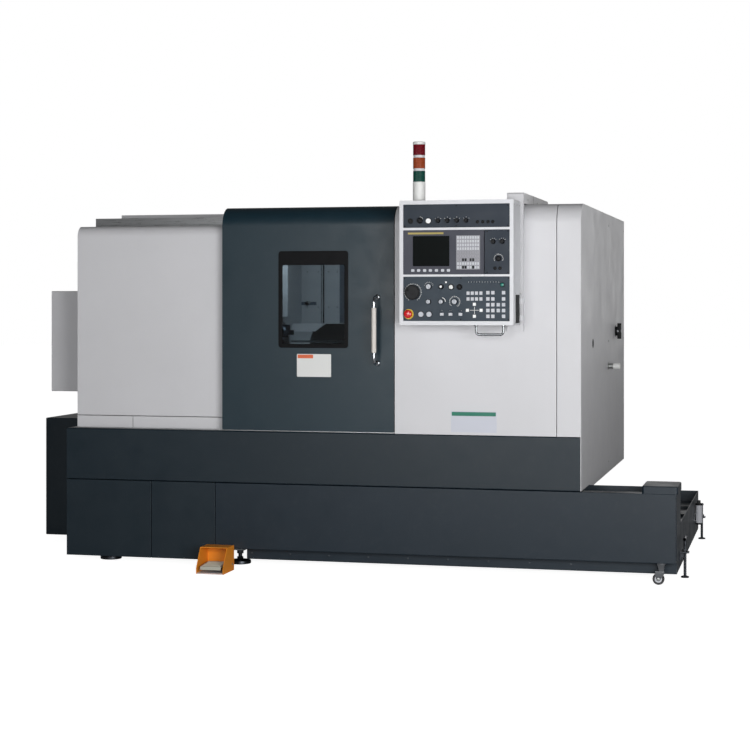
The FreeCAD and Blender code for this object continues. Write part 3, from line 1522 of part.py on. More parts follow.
def caster(place, x, y):
    """A swivelling fork and its wheel. The swivel axis is at x, y."""
    radius = s.wheel_diameter / 2
    half = s.wheel_width / 2
    top = s.tank_panel_bottom
    level = radius + s.running_gap
    crown = level + radius + 6
    axle = -s.caster_trail
    plate = sided("z", (top - 6, top - s.running_gap), (0, 0), 46, 12)
    stem = rod("z", (crown + 2, top - 5), (0, 0), 12)
    fork = prism("x", (axle - 15, 16), [
        (-half - 5, crown + 5), (-half - 5, level - 8), (-half - 2, level - 8),
        (-half - 2, crown), (half + 2, crown), (half + 2, level - 8), (half + 5, level - 8),
        (half + 5, crown + 5),
    ])
    pin = sided("y", (-half - 3, half + 3), (axle, level), 9, 8)
    forks = fuse(plate, stem, fork, pin)
    seat(forks, f"caster_fork_{place}", x=x, y=y)
    wheel = cut(sided("y", (-half, half), (0, 0), s.wheel_diameter, 32),
                rod("y", (-half - 1, half + 1), (0, 0), 9 + 2 * s.running_gap))
    seat(wheel, f"caster_wheel_{place}", x=x + axle, y=y, z=level)


def pedal_guard():
    """Foot switch guard: a sheet hood with an open front, on a shallow base tray."""
    left, right = s.pedal_left, s.pedal_left + s.pedal_width
    back, front = size(-1), -1 - s.pedal_depth
    top = s.pedal_height
    brow = front + s.pedal_brow
    hood = prism("x", (left, right), [
        (back, 0), (back, top - 8), (back - 8, top), (brow, top), (front, 30), (front, 0),
    ])
    pocket(hood, "x", (left + s.sheet, right - s.sheet), [
        (back - s.sheet, s.pedal_base), (back - s.sheet, top - s.sheet - 8),
        (back - s.sheet - 8, top - s.sheet),
        (front - 10, top - s.sheet), (front - 10, s.pedal_base),
    ])
    lug = rod("x", (left + s.sheet - 1, right - s.sheet + 1), pedal_axis(), 8)
    return seat(fuse(hood, lug), "pedal_guard")


def pedal_axis():
    """Hinge line (Y, Z) of the tread, at the back of the guard."""
    return (-30, 34)


def pedal_tread():
    """Ribbed metal tread with a hinge barrel at its back."""
    left = s.pedal_left + s.sheet + 14
    right = s.pedal_left + s.pedal_width - s.sheet - 14
    y, z = pedal_axis()
    reach = s.pedal_depth - 44
    plate = prism("x", (left, right), [
        (y - 2, z + 4), (y - 2, z + 12), (y - reach, z + 2), (y - reach - 6, z - 14),
        (y - reach - 4, z - 14), (y - reach + 3, z - 5),
    ])
    ribs = []
    for index in range(7):
        along = 22 + index * 15
        level = z + 12 - 10 * along / reach
        ribs.append(block((left + 8, right - 8), (y - along - 4, y - along),
                          (level - 2, level + 2.2)))
    barrel = cut(sided("x", (left, right), (y, z), 22, 12),
                 rod("x", (left - 1, right + 1), (y, z), 8 + 2 * s.running_gap))
    return seat(fuse(plate, barrel, *ribs), "pedal_tread")


def main():
    bed_casting()
    leveling_feet()
    headstock()
    spindle_motor()
    drive_belt()
    chamber_liner()
    base_front_cover()
    base_access_covers()
    base_side_covers()
    hydraulic_cabinet()
    headstock_cover()
    headstock_sill_panels()
    spindle_end_cover()
    right_front_cover()
    right_side_panel()
    roof_panel()
    electrical_cabinet()
    cabinet_door()
    breaker_handle()
    door_rails()
    top_duct()
    front_door()
    window_frame()
    window_glass()
    door_handle()
    door_grip()
    spindle()
    chuck()
    for index in range(3):
        chuck_jaw(index)
    carriage()
    turret_housing()
    turret_disc()
    tailstock()
    tailstock_quill()
    pendant_housing()
    control_panels()
    display_unit()
    pendant_handle()
    operator_controls()
    stack_light()
    coolant_tank()
    pump_cover()
    outrigger_jacks()
    level_gauge()
    caster("front", s.caster_x, s.caster_inset)
    caster("rear", s.caster_x, s.tank_depth + s.caster_outset)
    pedal_guard()
    pedal_tread()


main()
doc.recompute()

for obj in doc.Objects:
    if "Invalid" in obj.State or "Error" in obj.State:
        raise RuntimeError(f"{obj.Label} ({obj.TypeId}) failed: {obj.State}")
for part in SUBPARTS:
    if part.Shape.isNull() or not part.Shape.isValid() or not part.Shape.Solids:
        raise RuntimeError(f"{part.Label} has no valid solid")

os.makedirs("parts", exist_ok=True)
for part in SUBPARTS:
    part.Shape.exportStep(f"parts/{part.Label}.step")
print(len(SUBPARTS), "sub-parts written")
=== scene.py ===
import json
import math

import bmesh
import bpy
from mathutils import Matrix, Vector

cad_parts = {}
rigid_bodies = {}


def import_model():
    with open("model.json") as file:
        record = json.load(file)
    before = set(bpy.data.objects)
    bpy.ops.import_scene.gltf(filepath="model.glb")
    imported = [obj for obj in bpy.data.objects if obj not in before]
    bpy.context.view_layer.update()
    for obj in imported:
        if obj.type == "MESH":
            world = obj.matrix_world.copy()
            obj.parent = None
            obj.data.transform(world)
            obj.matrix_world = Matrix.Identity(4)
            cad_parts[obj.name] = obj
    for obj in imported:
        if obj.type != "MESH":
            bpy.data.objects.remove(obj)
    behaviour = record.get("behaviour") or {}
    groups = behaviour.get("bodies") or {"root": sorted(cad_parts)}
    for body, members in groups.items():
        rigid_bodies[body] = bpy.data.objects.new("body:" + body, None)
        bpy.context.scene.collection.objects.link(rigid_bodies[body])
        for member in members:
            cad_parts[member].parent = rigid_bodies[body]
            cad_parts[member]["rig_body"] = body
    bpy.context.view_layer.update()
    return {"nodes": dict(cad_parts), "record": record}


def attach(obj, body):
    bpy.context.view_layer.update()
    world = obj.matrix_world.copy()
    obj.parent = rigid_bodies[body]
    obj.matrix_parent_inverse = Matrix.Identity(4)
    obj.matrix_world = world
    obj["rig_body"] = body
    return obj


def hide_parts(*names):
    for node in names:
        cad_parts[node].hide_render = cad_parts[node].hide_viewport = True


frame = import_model()

# Places are written in millimetres from the left front corner of the base.
CENTRE_X, CENTRE_Y = 1337.5, 898.25
SHEET = 3.0  # thickness of the sheet metal


def place(x, y, z):
    return Vector(((x - CENTRE_X) / 1000, (y - CENTRE_Y) / 1000, z / 1000))


def show(name, data):
    obj = bpy.data.objects.new(name, data)
    bpy.context.scene.collection.objects.link(obj)
    return obj


# camera
camera_data = bpy.data.cameras.new("camera")
camera_data.lens = 84.288
camera_data.sensor_width = 36
camera_data.shift_y = -0.098
camera = show("camera", camera_data)
camera.location = (2.3095, -9.19825, 1.332)
camera.rotation_euler = (math.pi / 2, 0, math.radians(13.76))
bpy.context.scene.camera = camera
bpy.context.scene.view_settings.view_transform = "Standard"


# shader nodes
def linear(hexcode):
    out = []
    for i in (1, 3, 5):
        c = int(hexcode[i:i + 2], 16) / 255
        out.append(c / 12.92 if c <= 0.04045 else ((c + 0.055) / 1.055) ** 2.4)
    return out


def feed(tree, target, inputs):
    """Each input gets its value, or a link from the socket that feeds it."""
    for key, value in inputs.items():
        if isinstance(value, bpy.types.NodeSocket):
            tree.links.new(value, target.inputs[key])
        else:
            target.inputs[key].default_value = value


def node(tree, kind, inputs, **settings):
    """The outputs of a new shader node."""
    made = tree.nodes.new("ShaderNode" + kind)
    for key, value in settings.items():
        setattr(made, key, value)
    feed(tree, made, inputs)
    return made.outputs


def math_node(tree, operation, a, b):
    return node(tree, "Math", {0: a, 1: b}, operation=operation)[0]


def noise(tree, coords, scale, detail, rough, stretch=None):
    if stretch:
        coords = node(tree, "Mapping", {"Scale": stretch, "Vector": coords})["Vector"]
    return node(tree, "TexNoise", {"Vector": coords, "Scale": scale, "Detail": detail,
                                   "Roughness": rough})["Fac"]


def spread(tree, value, low, high, at=(0.3, 0.7)):
    return node(tree, "MapRange", {"Value": value, "From Min": at[0], "From Max": at[1],
                                   "To Min": low, "To Max": high})["Result"]


def mix_colours(tree, factor, low, high):
    a, b = (c if isinstance(c, bpy.types.NodeSocket) else (*c, 1) for c in (low, high))
    return node(tree, "Mix", {"Factor": factor, "A": a, "B": b}, data_type="RGBA")["Result"]


def shades(tree, factor, base, low, high):
    """From one strength of a colour to another."""
    return mix_colours(tree, factor, [c * low for c in base], [min(1, c * high) for c in base])


# materials
MATERIALS = {}
PURE_WHITE = (1, 1, 1, 1)


def new_material(name):
    mat = bpy.data.materials.new(name)
    mat.use_nodes = True
    MATERIALS[name] = mat
    return mat.node_tree, mat.node_tree.nodes["Principled BSDF"]


def object_coords(tree):
    return node(tree, "TexCoord", {})["Object"]


def paint(name, colour, rough=0.5, vary=0.05, peel=0.12, peel_scale=600, metallic=0.0,
          coat=0.0, dust=0.0, brushed=None, specular=0.5):
    """Coated metal or moulded plastic: cloudy colour, orange peel and uneven gloss."""
    tree, shader = new_material(name)
    coords = object_coords(tree)
    base = linear(colour)
    cloud = spread(tree, noise(tree, coords, 2.3, 4, 0.55), 0, 1)
    tone = shades(tree, cloud, base, 1 - vary, 1 + vary)
    if dust:
        # settled dust and hand marks, finer and lighter than the coat
        mask = spread(tree, noise(tree, coords, 26, 6, 0.7), 0, dust, (0.52, 0.78))
        tone = mix_colours(tree, mask, tone, [0.55 * c + 0.16 for c in base])
    gloss = spread(tree, noise(tree, coords, 9, 5, 0.6, brushed), max(0.04, rough - 0.06),
                   rough + 0.08)
    grain = noise(tree, coords, 160 if brushed else peel_scale, 2, 0.5, brushed)
    relief = node(tree, "Bump", {"Strength": peel, "Distance": 0.0004, "Height": grain})
    feed(tree, shader, {"Base Color": tone, "Roughness": gloss, "Metallic": metallic,
                        "Specular IOR Level": specular, "Normal": relief["Normal"]})
    if coat:
        feed(tree, shader, {"Coat Weight": coat, "Coat Roughness": 0.12})


COAT = {"peel_scale": 420}
paint("dark_paint", "#12212a", 0.42, 0.05, 0.10, dust=0.02, specular=0.42, **COAT)
paint("door_paint", "#142a34", 0.40, 0.05, 0.10, dust=0.02, specular=0.45, **COAT)
paint("light_paint", "#cdcdd0", 0.42, 0.02, 0.10, dust=0.03, specular=0.4, **COAT)
paint("tank_paint", "#12212c", 0.42, 0.06, 0.10, dust=0.03, specular=0.42, **COAT)
paint("panel_light", "#d4d5d9", 0.40, 0.02, 0.10, dust=0.03, specular=0.4, **COAT)
paint("liner_paint", "#c3c8cb", 0.42, 0.04, 0.10, dust=0.15, **COAT)
paint("machine_paint", "#9aa1a5", 0.5, 0.06, 0.22, 160, dust=0.12)
# dark blue-grey that paints shade and a shadow on the work space's rear wall
paint("painted_shade_blue", "#5a6570", 0.5, 0.05, 0.1, 400)
paint("ground_steel", "#b9bbbd", 0.3, 0.05, 0.05, metallic=1, brushed=(1, 40, 40))
paint("blued_steel", "#4a4d52", 0.34, 0.1, 0.1, metallic=1, **COAT)
paint("chrome", "#a9acb0", 0.17, 0.03, 0.03, metallic=1, **COAT)
# chrome darkened for painted shade and dark reflections on the grab under the panel
paint("shaded_chrome", "#7d8082", 0.26, 0.04, 0.05, metallic=1, **COAT)
paint("zinc", "#a7aaa8", 0.4, 0.09, 0.1, 120, metallic=1)
paint("cast_alloy", "#bdbcae", 0.45, 0.08, 0.22, 220, metallic=0.35)
paint("belt_rubber", "#1d1d1f", 0.7, 0.12, 0.3, 300)
paint("wheel_rubber", "#2c2c2e", 0.62, 0.12, 0.25, 300, dust=0.2)
paint("seal_black", "#0a0b0c", 0.65, 0.1, 0.2, 500, specular=0.2)
paint("black_frame", "#07080b", 0.45, 0.08, 0.14, 500, specular=0.12)
paint("grip_cream", "#d0ccc6", 0.5, 0.04, 0.25, 700)
paint("guard_orange", "#ee9326", 0.45, 0.05, 0.14, 360, dust=0.05, specular=0.35)
for name, colour in (("panel_dark", "#242d38"), ("panel_low", "#2f3a44"),
                     ("bezel_grey", "#40424c")):
    paint(name, colour, 0.5, 0.05, 0.14, specular=0.3)
paint("black_plastic", "#0c0d10", 0.42, 0.1, specular=0.18)
paint("white_plastic", "#dfe0de", 0.4, 0.03, 0.14)
paint("stop_red", "#c3161c", 0.3, 0.05, 0.08, 500, coat=0.3)
paint("lamp_green", "#1f786c", 0.3, 0.05, 0.06, coat=0.3)
paint("key_light", "#c2c4ca", 0.5, 0.04)
paint("key_white", "#eceded", 0.45, 0.03)
paint("key_grey", "#94949a", 0.5, 0.04)
paint("key_dark", "#17181b", 0.45, 0.06, specular=0.2)
paint("knob_grey", "#b6bac1", 0.4, 0.04)
paint("ring_yellow", "#d7b32e", 0.45, 0.05, 0.1)
paint("plate_orange", "#d9653a", 0.5, 0.04, 0.08)
paint("plate_yellow", "#a8974f", 0.5, 0.05, 0.1)
paint("plate_green", "#14705a", 0.5, 0.05, 0.08)
paint("plate_white", "#dcdddb", 0.5, 0.03, 0.08)
paint("plate_grey", "#c3c6d0", 0.5, 0.03, 0.08)


def lens(name, colour):
    """Translucent lamp lens: saturated plastic with a little light inside."""
    tree, shader = new_material(name)
    base = linear(colour)
    ribs = noise(tree, object_coords(tree), 60, 2, 0.5, (1, 1, 6))
    feed(tree, shader, {
        "Base Color": shades(tree, spread(tree, ribs, 0, 1), base, 0.85, 1.12),
        "Roughness": spread(tree, ribs, 0.22, 0.3), "Specular IOR Level": 0.1,
        "Coat Weight": 0.15, "Coat Roughness": 0.05, "Emission Color": (*base, 1),
        "Emission Strength": 0.02})


def glass_material(name, tint, through, rough=0.02, specular=0.5):
    """Tinted laminated glass: see-through, with a glossy face and faint smears."""
    tree, shader = new_material(name)
    smear = noise(tree, object_coords(tree), 7, 5, 0.65, (1, 1, 2.2))
    feed(tree, shader, {
        "Base Color": shades(tree, spread(tree, smear, 0, 1), linear(tint), 0.94, 1),
        "Roughness": spread(tree, smear, rough, rough + 0.04), "IOR": 1.3,
        "Transmission Weight": through, "Specular IOR Level": specular})


lens("lens_red", "#660313")
lens("lens_amber", "#8c3b1a")
lens("lens_green", "#013e34")
glass_material("tinted_glass", "#c3d2dc", 1.0)
glass_material("screen_glass", "#050a0a", 0.0, 0.3, 0.06)

# every CAD node takes the finish of its slot, whether it stays in view or not
SLOT_OF = {part["node"]: part["material_slot"] for part in frame["record"]["subparts"]}
for name, slot in SLOT_OF.items():
    cad = frame["nodes"][name]
    if not cad.material_slots:
        cad.data.materials.append(MATERIALS[slot])
    for material_slot in cad.material_slots:
        material_slot.material = MATERIALS[slot]


# outlines, as lists of corners
def arc(a, b, radius, first, last, steps=10):
    angles = [math.radians(first + (last - first) * k / steps) for k in range(steps + 1)]
    return [(a + radius * math.cos(t), b + radius * math.sin(t)) for t in angles]


def rounded(x, z, radius=0.0, steps=5):
    """A rectangle with rounded corners, anticlockwise from low x, low z."""
    (x1, x2), (z1, z2) = x, z
    if radius <= 0:
        return [(x1, z1), (x2, z1), (x2, z2), (x1, z2)]
    out = []
    for a, b, first in ((x1 + radius, z1 + radius, 180), (x2 - radius, z1 + radius, 270),
                        (x2 - radius, z2 - radius, 0), (x1 + radius, z2 - radius, 90)):
        out += arc(a, b, radius, first, first + 90, steps)
    return out


def circle(a, b, radius, count=24, turn=0.0, low=None):
    """A ring of corners; every other one is on the radius low where that is given."""
    out = []
    for k in range(count):
        r = low if low and k % 2 == 0 else radius
        t = 2 * math.pi * k / count + turn
        out.append((a + r * math.cos(t), b + r * math.sin(t)))
    return out


def bend_path(points, radii, steps=6, inward=-1):
    """Rounded line through (y, z) corners with the direction of the sheet's thickness."""
    dirs = [(Vector(b) - Vector(a)).normalized() for a, b in zip(points, points[1:])]
    out = [(*points[0], -dirs[0].y * inward, dirs[0].x * inward)]
    for corner, radius, d0, d1 in zip(points[1:], radii, dirs, dirs[1:]):
        turn = math.atan2(d0.x * d1.y - d0.y * d1.x, d0.dot(d1))
        left = Vector((-d0.y, d0.x))
        start = Vector(corner) - d0 * (radius * math.tan(abs(turn) / 2))
        centre = start + left * math.copysign(radius, turn)
        for k in range(steps + 1):
            spin = Matrix.Rotation(turn * k / steps, 2)
            out.append((*(centre + spin @ (start - centre)), *(spin @ left * inward)))
    out.append((*points[-1], -dirs[-1].y * inward, dirs[-1].x * inward))
    return out


class Piece:
    """One mesh object under construction, in millimetres; m is a place in its materials."""

    def __init__(self, name, body, slot, *others, look=None):
        self.name, self.body, self.slot = name, body, slot
        self.materials = (look or slot, *others)
        self.bm = bmesh.new()

    def vert(self, point):
        return self.bm.verts.new(place(*point))

    def ring(self, axis, along, loop):
        """Corners at one place on an axis, with their other two coordinates in order."""
        return [self.vert({"x": (along, a, b), "y": (a, along, b), "z": (a, b, along)}[axis])
                for a, b in loop]

    def face(self, verts, m=0):
        try:
            made = self.bm.faces.new(verts)
        except ValueError:
            return None
        made.material_index = m
        return made

    def strip(self, low, high, m=0):
        """Faces between two rings of as many corners, or between a ring and a point."""
        count = max(len(low), len(high))
        faces = []
        for i in range(count if count > 1 else 0):
            k = (i + 1) % count
            near = [low[i], low[k]] if len(low) > 1 else low
            far = [high[k], high[i]] if len(high) > 1 else high
            faces.append(self.face([*near, *far], m))
        return faces

    def close(self, faces):
        faces = [f for f in faces if f]
        bmesh.ops.recalc_face_normals(self.bm, faces=faces)
        return faces

    def bevel(self, width, segments=2, angle=60, faces=None):
        """Round the sharp edges of these faces, or of all."""
        edges = dict.fromkeys(e for f in faces or self.bm.faces for e in f.edges)
        sharp = [e for e in edges if len(e.link_faces) == 2
                 and e.calc_face_angle(0) > math.radians(angle)]
        if sharp and width:
            bmesh.ops.bevel(self.bm, geom=sharp, offset=width / 1000, offset_type="OFFSET",
                            segments=segments, profile=0.5, affect="EDGES",
                            clamp_overlap=True)

    def prism(self, axis, span, outline, m=0, bevel=0.0, hole=None, segments=2, turn=None):
        """A straight extrusion of an outline, with an optional hole of as many corners."""
        loops = [[self.ring(axis, along, loop) for along in span]
                 for loop in ((outline, hole) if hole else (outline,))]
        faces = [f for low, high in loops for f in self.strip(low, high, m)]
        if hole:
            faces += [f for outer, inner in zip(*loops) for f in self.strip(outer, inner, m)]
        else:
            faces += [self.face(end, m) for end in loops[0]]
        faces = self.close(faces)
        if turn:
            centre, direction, degrees = turn
            bmesh.ops.rotate(self.bm, verts=[v for pair in loops for end in pair for v in end],
                             cent=place(*centre),
                             matrix=Matrix.Rotation(math.radians(degrees), 3, direction))
        self.bevel(bevel, segments, 30, faces)

    def box(self, x, y, z, m=0, bevel=0.0, turn=None):
        self.prism("z", z, rounded(x, y), m, bevel, turn=turn)

    def boxes(self, rows, m=0, bevel=0.8):
        """Boxes from rows of low and high x, y and z."""
        for x1, x2, y1, y2, z1, z2 in rows:
            self.box((x1, x2), (y1, y2), (z1, z2), m, bevel)

    def plate(self, axis, span, outline, holes=(), m=0):
        """A flat plate of any outline with any number of holes."""
        ends, faces = [], []
        for along in span:
            rings, edges = [], []
            for loop in (outline, *holes):
                ring = self.ring(axis, along, loop)
                rings.append(ring)
                edges += [self.bm.edges.new(pair) for pair in zip(ring, ring[1:] + ring[:1])]
            filled = bmesh.ops.triangle_fill(self.bm, use_beauty=True, edges=edges)
            faces += [g for g in filled["geom"] if isinstance(g, bmesh.types.BMFace)]
            ends.append(rings)
        for f in faces:
            f.material_index = m
        for low, high in zip(*ends):
            faces += self.strip(low, high, m)
        self.close(faces)

    def lathe(self, axis, centre, profile, count=32, m=0, closed=False):
        """A turned shape: profile is a list of (along, radius[, material])."""
        profile = [(along, radius, *(use or [m])) for along, radius, *use in profile]
        rings = [self.ring(axis, along, circle(*centre, radius, count) if radius else [centre])
                 for along, radius, _ in profile]
        faces = []
        if closed:
            rings.append(rings[0])
            profile.append(profile[0])
        else:
            faces += [self.face(rings[k], profile[k][2]) for k in (0, -1) if len(rings[k]) > 1]
        for low, high, (_, _, use) in zip(rings, rings[1:], profile[1:]):
            faces += self.strip(low, high, use)
        self.close(faces)

    def tube(self, points, radius, bend=0.0, count=20, m=0, steps=6):
        """A round bar along corners with bends of one radius, closed at both ends."""
        points = [Vector(p) for p in points]
        path = points[:1]
        for before, corner, after in zip(points, points[1:], points[2:]):
            u, v = (before - corner).normalized(), (after - corner).normalized()
            half = u.angle(v) / 2
            centre = corner + (u + v).normalized() * (bend / math.sin(half))
            a, b = ((corner + w * (bend / math.tan(half)) - centre).normalized()
                    for w in (u, v))
            path += [centre + a.slerp(b, i / steps) * bend for i in range(steps + 1)]
        path.append(points[-1])
        rings = []
        side = (path[1] - path[0]).orthogonal()
        for i, point in enumerate(path):
            ahead = (path[min(i + 1, len(path) - 1)] - path[max(i - 1, 0)]).normalized()
            side = (side - ahead * side.dot(ahead)).normalized()
            up = ahead.cross(side)
            rings.append([self.vert(point + side * a + up * b)
                          for a, b in circle(0, 0, radius, count)])
        faces = [self.face(rings[0], m), self.face(rings[-1], m)]
        for low, high in zip(rings, rings[1:]):
            faces += self.strip(low, high, m)
        self.close(faces)

    def bent(self, columns, path, skip=()):
        """A bent sheet: path holds (y, z, inward y, inward z), columns the X stations.

        skip holds (column, row) cells that stay open, for a cut-out.
        """
        outer = [[self.vert((x, y, z)) for y, z, _, _ in path] for x in columns]
        inner = [[self.vert((x, y + ny * SHEET, z + nz * SHEET)) for y, z, ny, nz in path]
                 for x in columns]
        cells = {(c, r) for c in range(len(columns) - 1) for r in range(len(path) - 1)}
        cells -= set(skip)
        faces = []
        for c, r in cells:
            corners = ((c, r), (c + 1, r), (c + 1, r + 1), (c, r + 1))
            beside = ((c, r - 1), (c + 1, r), (c, r + 1), (c - 1, r))
            faces.append(self.face([outer[i][j] for i, j in corners]))
            faces.append(self.face([inner[i][j] for i, j in corners[::-1]]))
            for (i, j), (k, n), cell in zip(corners, corners[1:] + corners[:1], beside):
                if cell not in cells:
                    faces.append(self.face([outer[i][j], outer[k][n], inner[k][n],
                                            inner[i][j]]))
        self.close(faces)

    def screw(self, axis, sign, along, centre, radius=4.5, height=1.2, m=2):
        """A small pan head with a socket, seated at along and standing sign-wards."""
        top = along + sign * height
        floor = top - sign * height * 0.6
        self.lathe(axis, centre, [(along, radius), (along + sign * height * 0.5, radius),
                                  (top, radius * 0.78), (top, radius * 0.42),
                                  (floor, radius * 0.38), (floor, 0)], 18, m)

    def screws(self, axis, sign, along, firsts, seconds, *finish):
        for a in firsts:
            for b in seconds:
                self.screw(axis, sign, along, (a, b), *finish)

    def done(self, *nodes):
        """Make the object, on its body and in place of these CAD nodes."""
        mesh = bpy.data.meshes.new(self.name)
        bmesh.ops.triangulate(self.bm, faces=[f for f in self.bm.faces if len(f.verts) > 4])
        self.bm.to_mesh(mesh)
        self.bm.free()
        mesh.shade_smooth()
        mesh.set_sharp_from_angle(angle=math.radians(40))
        for material in self.materials:
            mesh.materials.append(MATERIALS[material])
        obj = show(self.name, mesh)
        obj.modifiers.new("flat_faces", "WEIGHTED_NORMAL").keep_sharp = True
        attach(obj, self.body)
        if nodes:
            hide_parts(*nodes)


def softened(name, width, segments=2, look=None):
    """The CAD node with its hard edges rounded, as a piece of its own."""
    source = frame["nodes"][name]
    piece = Piece("soft_" + name, source["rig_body"], SLOT_OF[name], look=look)
    piece.bm.from_mesh(source.data)
    bmesh.ops.remove_doubles(piece.bm, verts=piece.bm.verts, dist=1e-5)
    bmesh.ops.dissolve_limit(piece.bm, angle_limit=math.radians(1), verts=piece.bm.verts,
                             edges=piece.bm.edges)
    for f in piece.bm.faces:
        f.material_index = 0
    piece.bevel(width, segments, 28)
    piece.done(name)


# floor
floor_mesh = bmesh.new()
bmesh.ops.create_grid(floor_mesh, x_segments=2, y_segments=2, size=40)
floor_data = bpy.data.meshes.new("floor")
floor_mesh.to_mesh(floor_data)
floor_mesh.free()
floor = show("floor", floor_data)
floor.location = (0, 0, -0.0005)
tree, shader = new_material("floor")
tree.nodes.remove(shader)
# nearly white for rays that see it straight or through glass
path = node(tree, "LightPath", {})
seen = math_node(tree, "MAXIMUM", path["Is Camera Ray"], path["Is Transmission Ray"])
diffuse = node(tree, "BsdfDiffuse", {"Color": (0.75, 0.75, 0.76, 1)})
glow = node(tree, "Emission", {"Color": PURE_WHITE,
                               "Strength": math_node(tree, "MULTIPLY", seen, 0.94)})
both = node(tree, "AddShader", {0: diffuse[0], 1: glow[0]})
feed(tree, tree.nodes["Material Output"], {"Surface": both[0]})
floor_data.materials.append(MATERIALS["floor"])

# background: white to the camera, and soft light of uneven strength to the machine
world = bpy.data.worlds.new("world")
bpy.context.scene.world = world
world.use_nodes = True
tree = world.node_tree
towards = node(tree, "SeparateXYZ", {0: node(tree, "TexCoord", {})["Generated"]})
# weaker above, strong in front and to the right of the machine, and some from behind
height = spread(tree, towards["Z"], 0.6, 0.09, (0.0, 0.55))
behind = spread(tree, towards["Y"], 0, 0.85, (0.1, 1.0))
ramp = tree.nodes.new("ShaderNodeValToRGB")
feed(tree, ramp, {"Fac": spread(tree, towards["X"], 0, 1, (-1, 1))})
stops = ramp.color_ramp.elements
for position, level in ((0, 0.3), (0.32, 0.12), (0.38, 0.5), (0.45, 1.4), (0.6, 1.3),
                        (0.8, 0.32), (1, 0.2)):
    stop = stops[-position] if position in (0, 1) else stops.new(position)
    stop.color = (level, level, level, 1)
total = math_node(tree, "ADD", ramp.outputs["Color"], behind)
light = tree.nodes["Background"]
feed(tree, light, {"Color": PURE_WHITE,
                   "Strength": math_node(tree, "MULTIPLY", height, total)})
white = node(tree, "Background", {"Color": PURE_WHITE, "Strength": 1.0})
both = node(tree, "MixShader", {0: node(tree, "LightPath", {})["Is Camera Ray"],
                                1: light.outputs[0], 2: white[0]})
feed(tree, tree.nodes["World Output"], {"Surface": both[0]})


def lamp(name, location, target, size, watts):
    data = bpy.data.lights.new(name, "AREA")
    data.shape = "RECTANGLE"
    data.size, data.size_y = size
    data.energy = watts
    obj = show(name, data)
    obj.location = location
    obj.rotation_euler = (Vector(target) - Vector(location)).to_track_quat("-Z", "Y").to_euler()


lamp("key", (3.6, -6.1, 1.25), (0.3, -0.9, 0.9), (2.8, 1.8), 215)
lamp("front", (-0.1, -7.0, 1.7), (-0.3, -0.9, 1.0), (1.4, 1.6), 90)
# small work lamp under the roof of the work space
lamp("inside", place(1080, 640, 1690), place(1000, 900, 1100), (0.4, 0.1), 1.1)

# sizes that several sheets share
TOP, BACK, BASE_TOP = 1800, 2028, 690
BROW, BROW_DEPTH = 95, 300  # bend over the front's upper edge, and how far back it runs
DOOR_L, DOOR_R = 832, 1709
WINDOW = ((1142, 1463), (1121, 1514))
SPINDLE = (520, 1100)
# materials after the first one, by their place in a piece's list
LIGHT = ("seal_black", "zinc", "black_plastic", "plate_grey", "plate_green")
SEAL, ZINC, BLACK, GREY, GREEN = range(1, 6)

# door
door = Piece("door_skin", "door", "door_paint")
path = bend_path([(0, 696), (0, TOP), (BROW_DEPTH - 3, TOP)], [BROW], 14)
path[1:1] = [(0, z, 1, 0) for z in WINDOW[1]]
door.bent([DOOR_L, *WINDOW[0], DOOR_R], path, {(1, 1)})
door.bevel(0.9)
door.done("front_door")

inner = Piece("door_returns", "door", "door_paint", *LIGHT)
cheek = [(3.2, 696), (40, 696), (40, 1707), (147, 1782), (297, 1782), (297, 1796.8),
         (95, 1796.8)] + arc(95, 1705, 91.8, 96, 174, 8) + [(3.2, 1705)]
for x in (DOOR_L + 0.2, DOOR_R - SHEET - 0.2):
    inner.prism("x", (x, x + SHEET), cheek, 0, 0.6)
inner.box((DOOR_L + 3, DOOR_R - 3), (3, 40), (696, 699), 0, 0.4)
for x in (902, 1579):
    inner.box((x, x + 60), (235.7, 239.7), (1733, 1796), ZINC, 0.5)
    inner.lathe("y", (x + 30, 1772.3), [(239.8, 9), (253, 9), (254, 8), (254, 0)], 24, ZINC)
for x in (DOOR_L + 4, DOOR_R - 14):
    inner.box((x, x + 10), (40, 43), (712, 1700), SEAL, 1)
inner.done("front_door")

# plain plate under the window: pale field with a plain band
label = Piece("door_plate", "door", "door_paint", "plate_orange", look="plate_white")
label.prism("y", (-0.8, 0), rounded((1219, 1393), (962, 1074), 4), 0, 0.3)
label.prism("y", (-1.0, -0.8), rounded((1223, 1302), (1053, 1071), 2), 1)
label.done()

bezel = Piece("window_bezel", "door", "black_frame")
bezel.prism("y", (-4, 0), rounded((1125, 1480), (1104, 1580), 14), 0, 1.2, rounded(*WINDOW, 9))
# rubber seal in the corner between frame and glass
bezel.prism("y", (-1, 2.8), rounded((1140.5, 1464.5), (1119.5, 1515.5), 9), 0, 0.6,
            rounded((1145, 1460), (1124, 1511), 7))
bezel.done("window_frame")
pane = Piece("window_pane", "door", "tinted_glass")
pane.prism("y", (3, 11), rounded((1129, 1476), (1108, 1540), 8), 0, 0.8)
pane.done("window_glass")

GRIP = (1627, -75)
bar = Piece("handle_bar", "door", "chrome")
bar.tube([(1627, -6, 1032), (*GRIP, 1032), (*GRIP, 1354), (1627, -6, 1354)], 6, 26)
for z in (1032, 1354):
    bar.lathe("y", (1627, z), [(0, 13), (-4, 13), (-6, 12), (-8, 8.5), (-8.4, 6.3), (-8, 6)], 28)
bar.done("door_handle")
grip = Piece("handle_grip", "door", "grip_cream")
grip.lathe("z", GRIP, [(1084, 6.5), (1084, 9.5), (1086, 11), (1089, 11.5), (1297, 11.5),
    (1300, 11), (1302, 9.5), (1302, 6.5)], 28)
grip.done("door_grip")


def light_piece(name):
    return Piece(name, "machine", "light_paint", *LIGHT)


